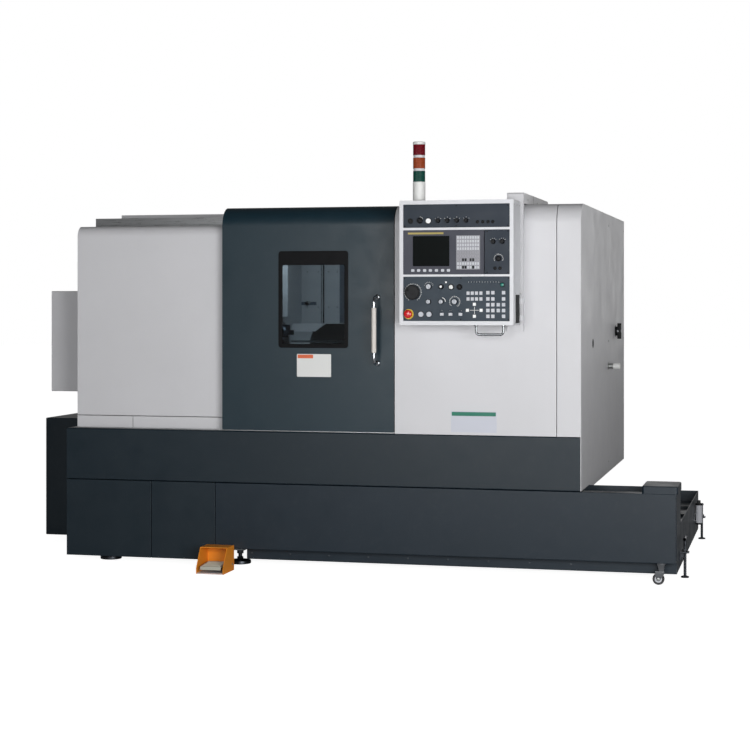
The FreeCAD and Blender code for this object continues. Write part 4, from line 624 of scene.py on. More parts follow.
# right front cover and right end
brow = bend_path([(0, BASE_TOP), (0, TOP), (BROW_DEPTH, TOP)], [BROW], 14)
cover = light_piece("right_cover")
cover.bent([1713, 2501], brow)
cover.bevel(0.9)
cover.box((1713.2, 1716), (3.2, 90), (BASE_TOP, 1695), 0, 0.6)
cover.prism("y", (-0.7, 0), rounded((1991, 2214), (703, 805), 2), GREY, 0.2)
cover.prism("y", (-0.9, -0.7), rounded((1995, 2210), (782, 801), 1), GREEN)
cover.done("right_front_cover")

PULL, SWITCH, STUB = (482, 1122), (1549, 1167), (1180, 985)
side = light_piece("right_end")
side.bent([2504, 2614.9], brow)
side.plate("x", (2615, 2618), [(0, 433), (352, 433), (352, 412), (BACK, 412), (BACK, TOP),
    *arc(95, 1705, 95, 90, 180, 14)], [circle(*PULL, 21.5, 32)])
side.bevel(1.0)
side.lathe("x", PULL, [(2617.8, 19), (2618.6, 20.5), (2618.6, 23), (2617.6, 24), (2606, 24),
    (2606, 22), (2616, 19)], 32, SEAL, True)
side.lathe("x", PULL, [(2607, 22), (2607, 0)], 32, SEAL)
side.box((2608, 2616), (480, 484), (1106, 1138), SEAL, 1)
side.lathe("x", SWITCH, [(2617.9, 33), (2618.2, 33), (2618.25, 0)], 36, BLACK)
side.screws("x", 1, 2618, (1200, 1990), (470, 1120, 1740), 4.5, 1.8)
side.done("right_side_panel")
stub = Piece("side_stub", "machine", "white_plastic", "zinc")
stub.lathe("x", STUB, [(2617.8, 20), (2619, 20), (2620, 19), (2620, 14), (2646, 14)], 28, 1)
stub.lathe("x", STUB, [(2646, 14), (2646, 17), (2681, 17), (2683, 15), (2683, 0)], 28)
stub.done()

switch = Piece("main_switch", "breaker", "black_plastic", "key_light")
switch.lathe("x", SWITCH, [(2618.4, 26), (2625, 26), (2629, 24), (2629.3, 0)], 36)
switch.prism("x", (2629, 2650.8), [(1538, 1123.5), (1560, 1123.5), (1564, 1167), (1560, 1210.5),
    (1538, 1210.5), (1534, 1167)], 0, 3, None, 3)
switch.box((2650.6, 2651.2), (1547, 1551), (1186, 1207), 1)
switch.lathe("x", SWITCH, [(2630, 15.5), (2650.6, 14), (2651.2, 12), (2651.2, 0)], 28, 1)
switch.done("breaker_handle")

# headstock cover and the box at its left
head = light_piece("head_cover")
head.bent([41.1, 862], bend_path([(50, 755), (50, 1715), (640, 1715)], [55], 12))
head.plate("x", (38, 41), [(640, 1715), (640, 755), (50, 755), *arc(105, 1660, 55, 180, 90, 12)],
    [circle(*SPINDLE, 127, 48)])
head.bevel(1.4, 2, 50)
head.box((41, 824), (53, 60), (775, 778), 0, 0.4)
head.done("headstock_cover")

sill = light_piece("sill_panels")
path = bend_path([(82, BASE_TOP), (50, BASE_TOP), (50, 752), (82, 752)], [3, 3], 4)
for columns in ((38, 338), (341, 824)):
    sill.bent(columns, path)
    sill.bevel(0.6, 1)
sill.done("headstock_sill_panels")

endbox = light_piece("end_box")
outline = rounded((300, 760), (859, 1387), 7)
endbox.prism("x", (-213.9, 38), outline, 0, 0.6, rounded((303, 757), (862, 1384), 4))
endbox.plate("x", (-217, -214), outline, [circle(*SPINDLE, 45, 36)])
endbox.bevel(1.0)
endbox.screws("x", -1, -217, (322, 738), (885, 1361))
endbox.done("spindle_end_cover")

# rear housing, roof and control cabinet
roof = light_piece("roof")
roof.boxes(((40, 868, 640, BACK, 1797, TOP), (868, 1497, 303, BACK, 1797, TOP),
    (1497, 2615, 303, 1465, 1797, TOP), (40, 43, 640, BACK, BASE_TOP, 1797),
    (43, 1497, 2025, BACK, BASE_TOP, 1797), (43, 868, 640, 643, 1683, 1797),
    (865, 868, 303, 640, 1718, 1797)))
for x in (500, 1180):
    roof.box((x - 1.5, x + 1.5), (2027.9, 2028.1), (700, 1790), SEAL)
roof.screws("y", 1, BACK, (70, 470, 530, 1150, 1210, 1470), (730, 1250, 1770), 4.5, 1.5)
roof.done("roof_panel")

cabinet = light_piece("control_cabinet")
cabinet.boxes((
    (1500, 2615, 1468, 1471, BASE_TOP, TOP), (1500, 1503, 1471, 2004, 693, 1797),
    (2612, 2615, 1471, 2004, 693, 1797), (1500, 2615, 1471, 2004, BASE_TOP, 693),
    (1500, 2615, 1471, 2004, 1797, TOP), (1503, 1522, 1982, 2004, 693, 1797),
    (2593, 2612, 1982, 2004, 693, 1797), (1522, 2593, 1982, 2004, 693, 712),
    (1522, 2593, 1982, 2004, 1778, 1797)))
cabinet.box((1590, 2525), (1483, 1486), (780, 1710), ZINC, 0.8)
# switchgear on the mounting plate: rails with rows of modules, and cable ducts
for z in (930, 1180, 1430, 1640):
    cabinet.box((1640, 2475), (1486, 1494), (z - 17, z + 17), ZINC, 1)
    x = 1650
    for index in range(14):
        width = (36, 54, 45, 72, 36, 90)[index % 6]
        if x + width > 2470:
            break
        cabinet.box((x, x + width - 3), (1494, 1494 + (70, 62, 84)[index % 3]),
                    (z - 42, z + 42), (BLACK, GREY, BLACK)[index % 3], 2)
        x += width
for z in (845, 1055, 1305, 1545):
    cabinet.box((1600, 2515), (1486, 1540), (z - 22, z + 22), GREY, 2)
cabinet.done("electrical_cabinet")
softened("cabinet_door", 1.6)


# base
def dark_piece(name):
    return Piece(name, "machine", "dark_paint", *LIGHT)


base = dark_piece("base_front")
base.bent([0, 2615], bend_path([(32, 433), (0, 433), (0, BASE_TOP), (112, BASE_TOP)], [4, 8]))
base.bevel(0.9)
base.box((0, 794), (31, 35), (403, 433), 0, 0.5)
base.done("base_front_cover")
softened("base_access_covers", 1.6, 3)

skirt = dark_piece("base_skirts")
skirt.boxes((
    (0, 3, 35, BACK, 45, 687), (3, 32, 35, 38, 45, 687), (3, 32, 2025, BACK, 45, 687),
    (0, 72, 112, BACK, 687, BASE_TOP), (32, 2440, 2025, BACK, 45, 687),
    (2440, 2615, 2025, BACK, 412, 687), (32, 2440, 1996, 2025, 45, 48),
    (2437, 2440, 1996, 2025, 48, 412), (32, 35, 1996, 2025, 48, 687),
    (2612, 2615, 1996, 2025, 412, 687), (2440, 2612, 1996, 2025, 412, 415),
    (72, 2615, 1976, BACK, 687, BASE_TOP)))
skirt.screws("y", 1, BACK, (60, 620, 680, 1290, 1350, 1960, 2020, 2410), (90, 640))
skirt.done("base_side_covers")

hyd = dark_piece("hydraulic_box")
outline = rounded((-430, 0), (45, BASE_TOP), 5)
hyd.prism("y", (703, 1596.9), outline, 0, 0.6, rounded((-427, -3), (48, 687), 3))
hyd.prism("y", (700, 703), outline, 0, 1.2)
louvres = range(195, 435, 40)
hyd.plate("y", (1597, 1600), outline,
          [rounded((-340, -90), (z, z + 16), 5, 3) for z in louvres])
for z in louvres:
    hyd.box((-342, -88), (1580, 1597), (z + 14, z + 16), 0, 0.4, ((-215, 1597, z + 16), "X", -35))
hyd.done("hydraulic_cabinet")

feet = Piece("levelling_feet", "machine", "blued_steel")
for x, y in ((150, 225), (853, 225), (2360, 530), (150, 1770), (1255, 1770), (2360, 1770)):
    feet.lathe("z", (x, y), [(0, 53), (2, 55), (14, 55), (17, 53), (22, 22), (22, 0)], 36)
    feet.prism("z", (22, 34), circle(x, y, 17, 6), 0, 1)
    feet.lathe("z", (x, y), [(30, 10), (75, 10)], 20)
    feet.prism("z", (50, 66), circle(x, y, 17, 6, 0.3), 0, 1)
feet.done("leveling_feet")

# duct and door rails
softened("top_duct", 1.4)
ductwork = light_piece("duct_screws")
ductwork.screws("y", -1, -16, (2306,), (1230, 1440, 1650), 4.5, 2.4)
for x, sign in ((2266, -1), (2346, 1)):
    ductwork.screws("x", sign, x, (120, 420, 720), (1822,), 4, 1.8)
ductwork.box((2265.6, 2346.4), (298, 299.5), (1800.2, 1851.4), SEAL)
ductwork.done()
rails = Piece("guide_rails", "machine", "ground_steel")
rails.boxes(((58, 1709, 240, 256, 1727, 1763), (58, 860, 240, 256, 1715, 1727),
    (1709, 1716, 240, 256, 1727, 1763), (1716, 1756, 240, 256, 1727, 1797),
    (38, 1709, 14, 24, BASE_TOP, 695)))
rails.done("door_rails")

# operator panel: its left, right, bottom and top edge, its three bays, and their face
PL, PR, PB, PT = 1787, 2331, 1221, 1808
RIM, SIDE_BAY = 18, 119
BAYS = ((1679, 1789), (1459, 1668), (1240, 1449))
FACE = -216
WIDTH = (PL + RIM, PR - RIM)
case = Piece("panel_case", "pendant", "panel_light", "seal_black", "zinc")
case.prism("y", (-216.9, -60), rounded((PL, PR), (PB, PT), 5), 0, 0.5,
           rounded(WIDTH, (PB + RIM, PT - RIM), 3))
case.prism("z", (PB, PT), [(PL, -60), (PR, -60), (PR, -20), (PL + 30, -20), (PL, -50)], 0, 1.5)
case.plate("y", (-220, -217), rounded((PL, PR), (PB, PT), 6),
           [rounded(WIDTH, bay, 3) for bay in BAYS])
case.bevel(1.1)
for low, high in ((1241, 1267), (1321, 1347)):
    case.lathe("z", (2337, -36), [(low, 4.5), (low, 14), (low + 1, 15), (high - 1, 15), (high, 14),
        (high, 4.5)], 28, 0, True)
# end face: dark insert with its screws, and the hinge leaf
insert = rounded((-165, -45), (1230, 1364), 3)
case.prism("x", (PR, PR + 0.8), rounded((-178, -34), (1226, 1378), 4), 0, 0.3, insert)
case.prism("x", (PR - 0.1, PR + 0.4), insert, SEAL)
case.screws("x", 1, PR + 0.8, (-171, -39), (1236, 1297, 1371), 2.6)
case.box((PR, PR + 2.4), (-31, -21), (1228, 1372), ZINC, 0.5)
case.screws("x", 1, PR + 2.4, (-26,), (1250, 1300, 1350), 2.4, 1.2, SEAL)
case.screws("x", 1, PR, (-190, -120, -50), (1786,), 3, 1.4)
case.done("pendant_housing")


def at(across, down):
    """X and Z of a point given from the panel's upper left corner."""
    return PL + across, PT - down


def field(left, right, top, bottom, radius=0.0, steps=5):
    return rounded((PL + left, PL + right), (PT - bottom, PT - top), radius, steps)


PANEL = ("black_plastic", "key_light", "key_white", "plate_white", "lamp_green",
         "ring_yellow", "knob_grey", "panel_low")
BLACK, KEY, WHITE, MARK, GREEN, YELLOW, GREY, LOW = range(1, 9)


class Control(Piece):
    """Something on the panel, placed from its upper left corner and by height over its face."""

    def turned(self, across, down, profile, count, m=0):
        profile = [(FACE - high, *rest) for high, *rest in profile]
        self.lathe("y", at(across, down), profile, count, m)

    def raised(self, outline, low, high, m=0, bevel=0.0, **more):
        self.prism("y", (FACE - high, FACE - low), outline, m, bevel, **more)

    def knob(self, across, down, radius, cap=GREY, height=15, turn=0):
        """Skirted pointer knob."""
        self.turned(across, down, ((0, radius), (2, radius), (4, radius * 0.86),
            (height - 1, radius * 0.8), (height, radius * 0.7, cap), (height, 0, cap)), 28, BLACK)
        self.pointer(across, down, 1.6, radius * 0.66, 1.2, height, cap, 0.4, turn)

    def pointer(self, across, down, half, reach, radius, height, m, bevel, turn):
        x, z = at(across, down)
        self.raised(rounded((x - half, x + half), (z - reach, z + reach), radius, 2), height,
                    height + 2.5, m, bevel, turn=((x, FACE, z), "Y", turn))

    def button(self, across, down, radius, m=BLACK, height=7):
        """Round push button in its collar."""
        self.turned(across, down, ((0, radius + 2.6), (2, radius + 2.6), (3, radius + 1.2),
            (3, 0)), 26, BLACK)
        self.turned(across, down, ((3, radius), (height - 1, radius), (height, radius - 1.2),
            (height, 0)), 26, m)

    def key(self, across, down, wide, tall, m=KEY, high=2.4):
        self.raised(field(across - wide / 2, across + wide / 2, down - tall / 2, down + tall / 2,
            1.4, 2), 0, high, m, 0.6, segments=1)

    def mark(self, outline, turn=None):
        self.raised(outline, 0, 0.25, MARK, turn=turn)

    def scale(self, across, down, radius, first, last, count, long=4.0):
        """Tick marks round a knob."""
        half = long / 2
        ticks = arc(*at(across, down), radius, first, last, count - 1)
        for k, (x, z) in enumerate(ticks):
            angle = first + (last - first) * k / (count - 1)
            self.mark(rounded((x - 0.7, x + 0.7), (z - half, z + half)),
                      ((x, FACE, z), "Y", 90 - angle))

    def band(self, across, down, r1, r2, first, last, steps=14):
        """A flat arc round a knob."""
        c = at(across, down)
        self.mark(arc(*c, r2, first, last, steps) + arc(*c, r1, last, first, steps))


SELECTOR, OVERRIDE, HAND_WHEEL, STOP = (141, 406), (265, 477), (64, 433), (44, 535)
START, HOLD = (248, 408), (288, 408)
deck = Control("panel_deck", "pendant", "panel_dark", *PANEL)
deck.raised(rounded(WIDTH, BAYS[0], 2), -3, 0)
deck.raised(rounded((WIDTH[1] - SIDE_BAY, WIDTH[1]), BAYS[1], 2), -3, 0, 0, 0.4)
holes = ((HAND_WHEEL, 8.5), (STOP, 11.3), (SELECTOR, 7), (OVERRIDE, 7), (START, 11.3),
         (HOLD, 11.3))
deck.plate("y", (FACE, FACE + 3), rounded(WIDTH, BAYS[2], 2),
           [circle(*at(*c), radius, 20) for c, radius in holes], LOW)
# upper bay
deck.button(53, 97, 10)
deck.knob(98, 95, 14, BLACK, 16, -45)
deck.band(98, 95, 16.5, 17.6, 20, 90)
deck.button(139, 97, 12, WHITE)
for x in (185, 230, 275, 319.5):
    deck.knob(x, 96.5, 11, BLACK, 15, 30 if x == 230 else -30)
    deck.scale(x, 96.5, 16.5, 40, 140, 3)
for x in (374, 399, 424, 446):
    deck.button(x, 103.5, 5.5, BLACK, 6)
# side panel of the middle bay
for x in (448, 491):
    deck.knob(x, 197, 11, BLACK, 15, 20)
    deck.scale(x, 197, 16.5, 40, 140, 4)
deck.scale(473, 276, 21, -25, 205, 17, 5)
deck.knob(473, 276, 13, BLACK, 14, -60)
for x in (457, 480):
    deck.button(x, 321, 5.5, BLACK, 6)
# lower bay
deck.band(64.5, 433, 39, 40.2, -60, 240, 40)
deck.scale(64.5, 433, 42, -60, 240, 21, 3)
deck.turned(44, 535.5, ((0, 24), (1.2, 24), (1.8, 23.4), (1.8, 12.5)), 40, YELLOW)
deck.turned(44, 535.5, ((1.8, 14.5), (6, 14.5), (7, 13.5), (7, 12), (0, 12)), 32, BLACK)
deck.scale(*SELECTOR, 21, 20, 160, 8, 4)
deck.knob(201, 406.6, 12, BLACK, 13, 90)
deck.turned(201, 406.6, ((13, 6), (17.5, 5.5), (17.5, 0)), 24, WHITE)
deck.key(223.5, 385.6, 9, 9, WHITE, 1.2)
for c in (START, HOLD):
    deck.turned(*c, ((0, 14), (2.4, 14), (3.4, 13), (3.4, 11.3), (0, 11.3)), 30, BLACK)
deck.knob(140, 477, 12, GREY, 15, 0)
deck.knob(200.6, 477, 12, GREY, 15, -20)
deck.band(200.6, 477, 18, 21.5, 0, 75)
deck.band(*OVERRIDE, 25, 26.2, -60, 230, 34)
deck.scale(*OVERRIDE, 22, -60, 230, 16, 3.4)
for x in (104, 143):
    deck.button(x, 536, 12.4, GREY, 9)
for x in (204, 245, 293):
    deck.key(x, 536, 18.6, 14, KEY, 4)
    deck.key(x, 519, 12, 2, MARK, 0.3)
for x in (329, 349, 369, 390):
    for d in (437, 464):
        deck.key(x, d, 15.5, 17)
for x, d in ((359, 489), (326, 517), (391, 517), (359, 545)):
    deck.key(x, d, 15.5, 15.5, WHITE)
deck.mark(field(358, 360, 500, 534))
deck.mark(field(337, 380, 516, 518))
for row, d in enumerate((435, 464, 491, 518, 545)):
    for column, x in enumerate((423, 446.5, 472, 497)):
        if column != 2 or row in (2, 3):
            deck.key(x, d, 17, 17.5, KEY if row < 2 or column < 2 else GREY)
deck.turned(491, 398, ((0, 11), (2, 11), (3, 9.5), (3, 0)), 28, BLACK)
deck.turned(491, 398, ((3, 8.5), (6, 8), (7.5, 5.5), (8, 0)), 28, GREEN)
for k in range(12):
    deck.key(331 + 13 * k, 385, 2.2, 6.5, MARK, 0.4)
for columns, downs in (((26, 272, 517), (27, 121)), ((419, 517), (148, 341)),
        ((25, 294, 519), (367, 560))):
    for x in columns:
        for d in downs:
            deck.screw("y", -1, FACE, at(x, d), 3.2, 1.4, BLACK)
deck.done("control_panels")

screen = Control("screen_unit", "pendant", "bezel_grey", "screen_glass", "key_light", "key_dark",
    "key_grey", "plate_yellow")
GLASS, KEY, DARK_KEY, GREY_KEY, STRIP = range(1, 6)
FRONT = 3  # height of the unit over the panel's face
screen.plate("y", (FACE - FRONT, -213), rounded((WIDTH[0], WIDTH[1] - SIDE_BAY - 3), BAYS[1], 3),
    [field(64, 240, 168, 310, 3)])
screen.bevel(0.8)
screen.raised(field(58, 246, 163, 316, 5), FRONT, 3.6, 0, 0.4, hole=field(63, 241, 168, 311, 3))
screen.raised(field(63, 241, 167, 311, 2), -2.6, 0, GLASS)
screen.raised(field(41, 212, 151, 160, 1), FRONT, 3.8, STRIP, 0.2)
for x in (65, 93, 122, 149.5, 178.6, 208, 236):
    screen.raised(field(x - 8.3, x + 8.3, 323, 337, 4, 3), FRONT, 5.4, KEY, 0.7, segments=1)
screen.raised(field(273, 386, 167, 326, 2), FRONT, 3.5, GREY_KEY)
dark_keys = {(6, 2), (6, 3), (6, 5), (6, 6), (8, 2), (8, 3), (8, 6)}
for row in range(9):
    for column in range(9):
        x, d = 281.5 + 12 * column, 176.5 + 17.4 * row
        m = DARK_KEY if (row, column) in dark_keys else GREY_KEY if 4 <= row <= 6 else KEY
        screen.raised(field(x - 4.9, x + 4.9, d - 7, d + 7, 1, 2), 3.4, 4.8, m, 0.4, segments=1)
screen.box((PL + 397, PL + 401), (-219.6, -219), (PT - 346, PT - 143), 0, 0.3)
screen.done("display_unit")

# the grab takes the darkened chrome: painted shade and dark reflections under the panel
grab = Piece("panel_grab", "pendant", "chrome", look="shaded_chrome")
grab.tube([(2138, -130, PB), (2138, -130, 1176), (2268, -130, 1176), (2268, -130, PB)], 6, 14)
for x in (2138, 2268):
    grab.lathe("z", (x, -130), [(PB, 11), (1217, 11), (1216, 10), (1216, 6)], 24)
grab.done("pendant_handle")

wheel = Control("hand_wheel", "handwheel", "black_plastic", "key_dark")
wheel.turned(*HAND_WHEEL, ((0.4, 33), (8, 33), (9, 35), (9, 8)), 60, 1)
wheel.raised(circle(*at(*HAND_WHEEL), 36, 120, low=34.8), 9, 17.5, 0, 0.8)
wheel.turned(*HAND_WHEEL, ((17.5, 31), (19.3, 29.5), (19.3, 9), (18.2, 8), (18.2, 0)), 60, 1)
wheel.turned(46, 421, ((19, 6.5), (19.4, 6.5), (20, 5.6), (20, 0)), 24)
wheel.turned(*HAND_WHEEL, ((-10, 8), (9, 8)), 24)
wheel.done("handwheel")

stop = Control("stop_head", "estop", "stop_red", "seal_black")
stop.turned(*STOP, (
    (-10, 10.5, 1), (14, 10.5, 1), (14, 17.5), (15.5, 19.4), (17.5, 20), (21, 19.6),
    (24, 17.8), (26, 14.5), (27, 9), (27, 0)), 40)
stop.done("estop_button")

for name, body, c, turn in (("mode_selector", "mode_selector", SELECTOR, -30),
        ("feed_override_knob", "feed_override", OVERRIDE, 0)):
    p = Control(name + "_cap", body, "black_plastic", "black_plastic", "knob_grey",
                look="panel_dark")
    p.turned(*c, ((-10, 5), (0.4, 5), (0.4, 14), (2, 14), (4, 12.4), (13, 11.6), (14, 10.6, 2),
        (14, 0, 2)), 30, 1)
    p.pointer(*c, 1.8, 9.6, 1.4, 13.5, 2, 0.5, turn)
    p.done(name)
for name, c, slot in (("cycle_start", START, "white_plastic"),
        ("feed_hold", HOLD, "black_plastic")):
    p = Control(name + "_button_cap", name, slot)
    p.turned(*c, ((-10, 10), (7, 10), (8.4, 9.2), (9, 7.6), (8.6, 0)), 32)
    p.done(name + "_button")

# signal lamp
LAMP = (1866, -145)
stack = Piece("lamp_post", "pendant", "white_plastic", "light_paint", "seal_black")
stack.lathe("z", LAMP, [(1808, 30), (1811, 30, 2), (1811.5, 29.2, 2), (1812, 30), (1896, 30),
    (1899, 29), (1900, 28), (1900, 0)], 48)
for low in (1951, 2014):
    stack.lathe("z", LAMP, [(low, 28), (low + 1, 28), (low + 2, 27), (low + 10, 27),
        (low + 11, 28), (low + 12, 28)], 48, 1)
stack.lathe("z", LAMP, [(2077, 28), (2077, 30), (2087, 30), (2090, 28.5), (2091, 26), (2091, 0)],
    48)
stack.done("stack_light_post")
for colour, low in (("green", 1900), ("amber", 1963), ("red", 2026)):
    glassy = Piece("lamp_" + colour, "pendant", "lens_" + colour)
    glassy.prism("z", (low, low + 51), circle(*LAMP, 29, 96, low=28), 0, 0.4, segments=1)
    glassy.done("stack_lens_" + colour)

# coolant tank, with its fixed inner caster
tank = Piece("tank_body", "tank", "tank_paint", "seal_black", "zinc", "blued_steel",
    "wheel_rubber")
STEEL, RUBBER = 3, 4
AXLE_Z = 28.3
tank.bent([797, 3060], bend_path([(80, 105), (0, 105), (0, 430), (80, 430)], [3, 3], 4))
tank.bevel(0.8)
tank.boxes((
    (935, 3060, 80, 340, 45, 48), (935, 3060, 80, 83, 48, 430), (935, 2642, 337, 340, 48, 430),
    (2642, 3060, 337, 340, 260, 430), (935, 938, 83, 337, 48, 430),
    (3057, 3060, 83, 337, 48, 430), (2642, 3060, 340, 1800, 45, 48),
    (2642, 2645, 340, 1800, 48, 260), (3057, 3060, 340, 1800, 48, 260),
    (2645, 3057, 1797, 1800, 48, 260), (2930, 3050, 1800, 1888, 105, 108),
    (955, 1075, 340, 422, 105, 108), (997, 1003, 360, 400, 28, 106),
    (1027, 1033, 360, 400, 28, 106), (2645, 3057, 343, 1797, 196, 199)), 0, 1)
# rolled rim, and the lids over the settling part with their joints and grips
tank.tube([(2650, 344, 257), (3052, 344, 257)], 3.5, 0, 12)
for y in (700, 1060, 1420):
    tank.box((2646, 3056), (y - 2, y + 2), (199, 214), 0, 0.6)
for y in (520, 880, 1240, 1600):
    tank.tube([(2800, y, 198), (2800, y, 224), (2900, y, 224), (2900, y, 198)], 5, 12, 14, ZINC)
tank.screws("y", -1, 80, range(960, 2600, 200), (75,), 5, 1.2, STEEL)
tank.lathe("y", (1015, AXLE_Z), [(371, 0), (371, 26), (373, 28), (387, 28), (389, 26), (389, 0)],
    32, RUBBER)
tank.lathe("y", (1015, AXLE_Z), [(366, 5), (394, 5)], 16, ZINC)
tank.screws("z", 1, 108, (2935, 3045), (1812, 1876), 5, 3)
tank.done("coolant_tank")

pump = Piece("pump_box", "tank", "tank_paint")
pump.prism("z", (430, 463), rounded((2903, 3071), (0, 250), 12))
pump.prism("z", (463, 466), rounded((2906, 3068), (3, 247), 11), 0, 2, None, 3)
pump.done("pump_cover")

JACK_X = 3085
jacks = Piece("jack_screws", "tank", "blued_steel")
for y in (280, 1700):
    jack = (JACK_X, y)
    jacks.box((3060, 3105), (y - 20, y + 20), (120, 128), 0, 1.5)
    jacks.prism("y", (y - 3, y + 3), [(3060, 120), (3096, 120), (3060, 76)], 0, 1)
    jacks.lathe("z", jack, [(1, 18), (2, 20), (6, 20), (9, 16), (10, 7), (116, 7)], 28)
    for z in range(20, 110, 10):
        jacks.lathe("z", jack, [(z, 7.4), (z + 3, 7.4)], 20)
    jacks.lathe("z", jack, [(116, 7), (182, 7)], 20)
    jacks.prism("z", (128, 139), circle(*jack, 13, 6), 0, 1)
    jacks.tube([(JACK_X, y - 40, 190), (JACK_X, y + 40, 190)], 7, 0, 18)
    for a in (y - 40, y + 33):
        jacks.lathe("y", (JACK_X, 190), [(a, 7), (a + 1, 8.5), (a + 6, 8.5), (a + 7, 7)], 18)
jacks.done("outrigger_jacks")

# level gauge with its valve lever
GAUGE = (3084, 1450)
LEVER_Z = 237
gauge = Piece("gauge_body", "tank", "zinc", "black_plastic", look="key_light")
gauge.lathe("z", GAUGE, [(113, 16), (114, 20), (122, 20), (122, 17, 1)], 32, 1)
gauge.lathe("z", GAUGE, [(122, 17), (124, 18.4), (217, 18.4), (219, 17)], 32)
gauge.lathe("z", GAUGE, [(219, 17), (219, 20), (227, 20), (229, 17), (229, 0)], 32, 1)
gauge.box((3060, 3070), (1438, 1462), (133, 173), 1, 1.5)
gauge.lathe("z", GAUGE, [(228, 9), (244, 9), (245, 8), (245, 0)], 24, 1)
gauge.tube([(*GAUGE, LEVER_Z), (3084, 1384, LEVER_Z)], 4, 0, 16, 1)
gauge.lathe("y", (3084, LEVER_Z), [(1380, 4.5), (1382, 6), (1390, 6), (1393, 4)], 20, 1)
gauge.done("level_gauge")


def caster(end, x, y):
    """Swivel caster: bright pressed fork, ball race and a grey wheel."""
    axle = (x - 12, AXLE_Z)
    fork = Piece("fork_" + end, "caster_" + end, "chrome", "zinc")
    fork.lathe("z", (x, y), [(104.7, 23), (103.7, 24.5), (99, 24.5), (97, 22), (92, 20), (86, 17),
        (80, 15)], 32)
    fork.prism("z", (63.5, 66), rounded((x - 27, x + 16), (y - 14, y + 14), 6, 4), 0, 0.8)
    fork.lathe("z", (x, y), [(66, 14), (80, 15)], 28)
    for sign in (-1, 1):
        near, far = y + sign * 11.2, y + sign * 14
        outline = [(x + 15, 65), (x - 26, 65), (x - 27, 50), *arc(*axle, 9, 190, 350, 8),
                   (x + 14, 50)]
        fork.prism("y", sorted((near, far)), outline, 0, 0.7)
        fork.lathe("y", axle, [(far, 7), (far + sign * 2.5, 7), (far + sign * 3, 6),
            (far + sign * 3, 0)], 6, 1)
    fork.lathe("y", axle, [(y - 12, 4.4), (y + 12, 4.4)], 16, 1)
    fork.done("caster_fork_" + end)
    roll = Piece("wheel_" + end, "wheel_" + end, "wheel_rubber", "key_light")
    half = [(-9, 4.8, 1), (-9, 17, 1), (-8, 18), (-9, 20), (-9, 25.5), (-7, 27.6), (-4, 28)]
    whole = half + [(-along, *rest) for along, *rest in half[::-1]]
    roll.lathe("y", axle, [(y + along, *rest) for along, *rest in whole], 40, closed=True)
    roll.done("caster_wheel_" + end)


caster("front", 2990, 36)
caster("rear", 2990, 1844)

# foot switch
PEDAL_PIN = (-30, 34)
guard = Piece("pedal_hood", "machine", "guard_orange", "key_light", "seal_black", "zinc")
outline = [(-1, 0), *arc(-9, 116, 8, 0, 90, 5), (-109, 124), (-171, 30), (-171, 0)]
for x in (755, 892):
    guard.prism("x", (x, x + 3), outline, 0, 0.8)
guard.bent([757, 893], bend_path([(-1, 6), (-1, 124), (-110, 124)], [8], 5, 1))
guard.box((756, 894), (-168, -3), (0, 6), 1, 1)
guard.lathe("x", PEDAL_PIN, [(758, 4), (892, 4)], 16, 3)
guard.box((776, 874), (-60, -12), (6, 20), 2, 2)
guard.screws("z", 1, 6, (775, 875), (-140, -30), 4, 2, 3)
for x, sign in ((755, -1), (895, 1)):
    guard.lathe("x", PEDAL_PIN, [(x, 6), (x + sign * 1.6, 5.6), (x + sign * 2, 0)], 20, 3)
guard.done("pedal_guard")
softened("pedal_tread", 0.7, look="cast_alloy")

# drive and work space
for name, width in (("bed_casting", 3), ("headstock", 4), ("carriage", 2), ("turret_housing", 2.5),
        ("turret_disc", 1.2), ("tailstock", 2), ("chuck", 1.5), ("chuck_jaw_1", 0.8),
        ("chuck_jaw_2", 0.8), ("chuck_jaw_3", 0.8), ("drive_belt", 0.8)):
    softened(name, width)

arbor = Piece("spindle_shaft", "spindle", "ground_steel", "blued_steel")
arbor.lathe("x", SPINDLE, [
    (-180, 31), (-180, 83), (-178, 85), (-60, 85), (-58, 80), (-20, 80), (-18, 85), (110, 85),
    (110, 113, 1), (112, 115, 1), (114, 115, 1), (116, 111, 1), (204, 111, 1), (206, 115, 1),
    (208, 115, 1), (210, 113, 1), (210, 85, 1), (872, 85), (874, 83), (874, 31)], 56, 0, True)
arbor.done("spindle")

MOTOR = (300, 425)
motor = Piece("motor_body", "machine", "machine_paint", "ground_steel", "black_plastic")
motor.prism("x", (240, 680), rounded((170, 430), (295, 555), 40, 1), 0, 5, None, 3)
motor.box((280, 580), (170, 430), (240, 264), 0, 3)
motor.box((300, 560), (210, 390), (252, 315), 0, 2)
motor.box((360, 500), (230, 370), (543, 601), 0, 4)
motor.lathe("x", MOTOR, [(110, 63), (112, 65), (114, 65), (115, 62), (205, 62), (206, 65),
    (208, 65), (210, 63), (210, 24), (110, 24)], 40, 1, True)
motor.lathe("x", MOTOR, [(109, 21), (241, 21)], 24, 1)
for z in range(341, 521, 20):
    motor.box((250, 670), (170.1, 174), (z, z + 4), 2)
motor.done("spindle_motor")

liner = Piece("chamber_sheets", "machine", "liner_paint", "seal_black", "zinc", "painted_shade_blue")
# place of the painted shade colour in the lining's materials
PAINTED_SHADE = 3
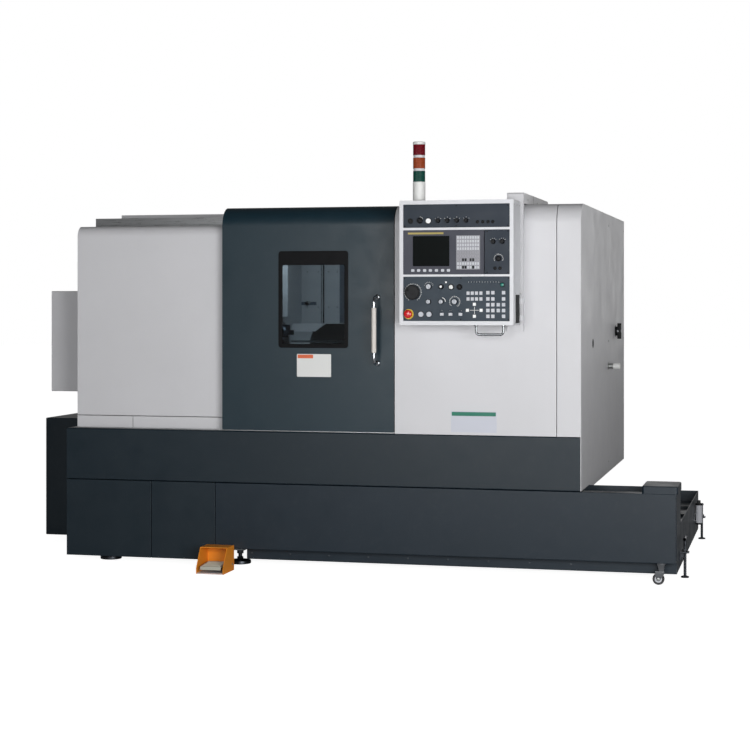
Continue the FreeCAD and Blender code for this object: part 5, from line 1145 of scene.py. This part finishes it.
# joint of the rear sheets, a dark sheet of painted shade over the rear wall's right part, a
# fold-out screen and the lamp housing, all standing off the walls
liner.boxes(((987, 991, 1280, 1287, 1208, 1715), (997, 1005, 1280, 1287, 1208, 1715)), SEAL)
liner.box((991, 997), (1284.5, 1287), (1208, 1715), 0, 0.5)
liner.box((1094, 2440), (1281, 1287), (1210, 1712), PAINTED_SHADE, 1.2)
liner.box((871, 915), (864, 884), (1250, 1716), 0, 3)
liner.box((900, 1420), (150, 190), (1640, 1672), SEAL, 4)


def slanted_sheet(spans, along, m=0, depth=(344, 347)):
    """A flat sheet on the bed's 45 degree slant, with its X span at each end of along."""
    root = math.sqrt(0.5)
    y, z = SPINDLE
    (x1, x2), (x3, x4) = spans
    low, high = along
    rings = []
    for d in depth:
        corners = ((x1, low), (x2, low), (x4, high), (x3, high))
        rings.append([liner.vert((x, y + (a + d) * root, z + (a - d) * root))
                      for x, a in corners])
    liner.close([*(liner.face(ring, m) for ring in rings), *liner.strip(*rings, m)])


slanted_sheet(((871, 1000), (871, 1058)), (428, 498))
slanted_sheet(((871, 940), (871, 998)), (80, 352))
# the dark sheets right of X 1000, on the slant and over its way, paint the shade on the bed's
# lower right
slanted_sheet(((1003, 2300), (1061, 2300)), (428, 498), SEAL)
slanted_sheet(((943, 2300), (1001, 2300)), (80, 352), SEAL)
slanted_sheet(((1000, 2290), (1003, 2290)), (355.2, 424.8), SEAL, (329.8, 330.1))
liner.lathe("y", (905, 1321), [(1287, 12), (1280, 12), (1278, 9), (1262, 8), (1258, 5), (1258, 0)],
    24, SEAL)
liner.lathe("y", (917, 1327), [(1287, 7), (1276, 7), (1274, 5), (1274, 0)], 20, ZINC)
# painted shadow of the nozzle: a dark bar across the rear wall behind it
liner.box((868.5, 960), (1284, 1287), (1311, 1331), PAINTED_SHADE, 1)
liner.screws("y", -1, 1287, (905, 970, 1030, 1080), (1300, 1500, 1690), 5, 1.6)
liner.done()

quill = Piece("quill_body", "quill", "ground_steel")
quill.lathe("x", SPINDLE, [(1908, 0), (1930, 12.7), (1955, 22), (1990, 22), (1990, 26), (2000, 26),
    (2000, 46), (2004, 50), (2300, 50), (2300, 0)], 48)
quill.done("tailstock_quill")
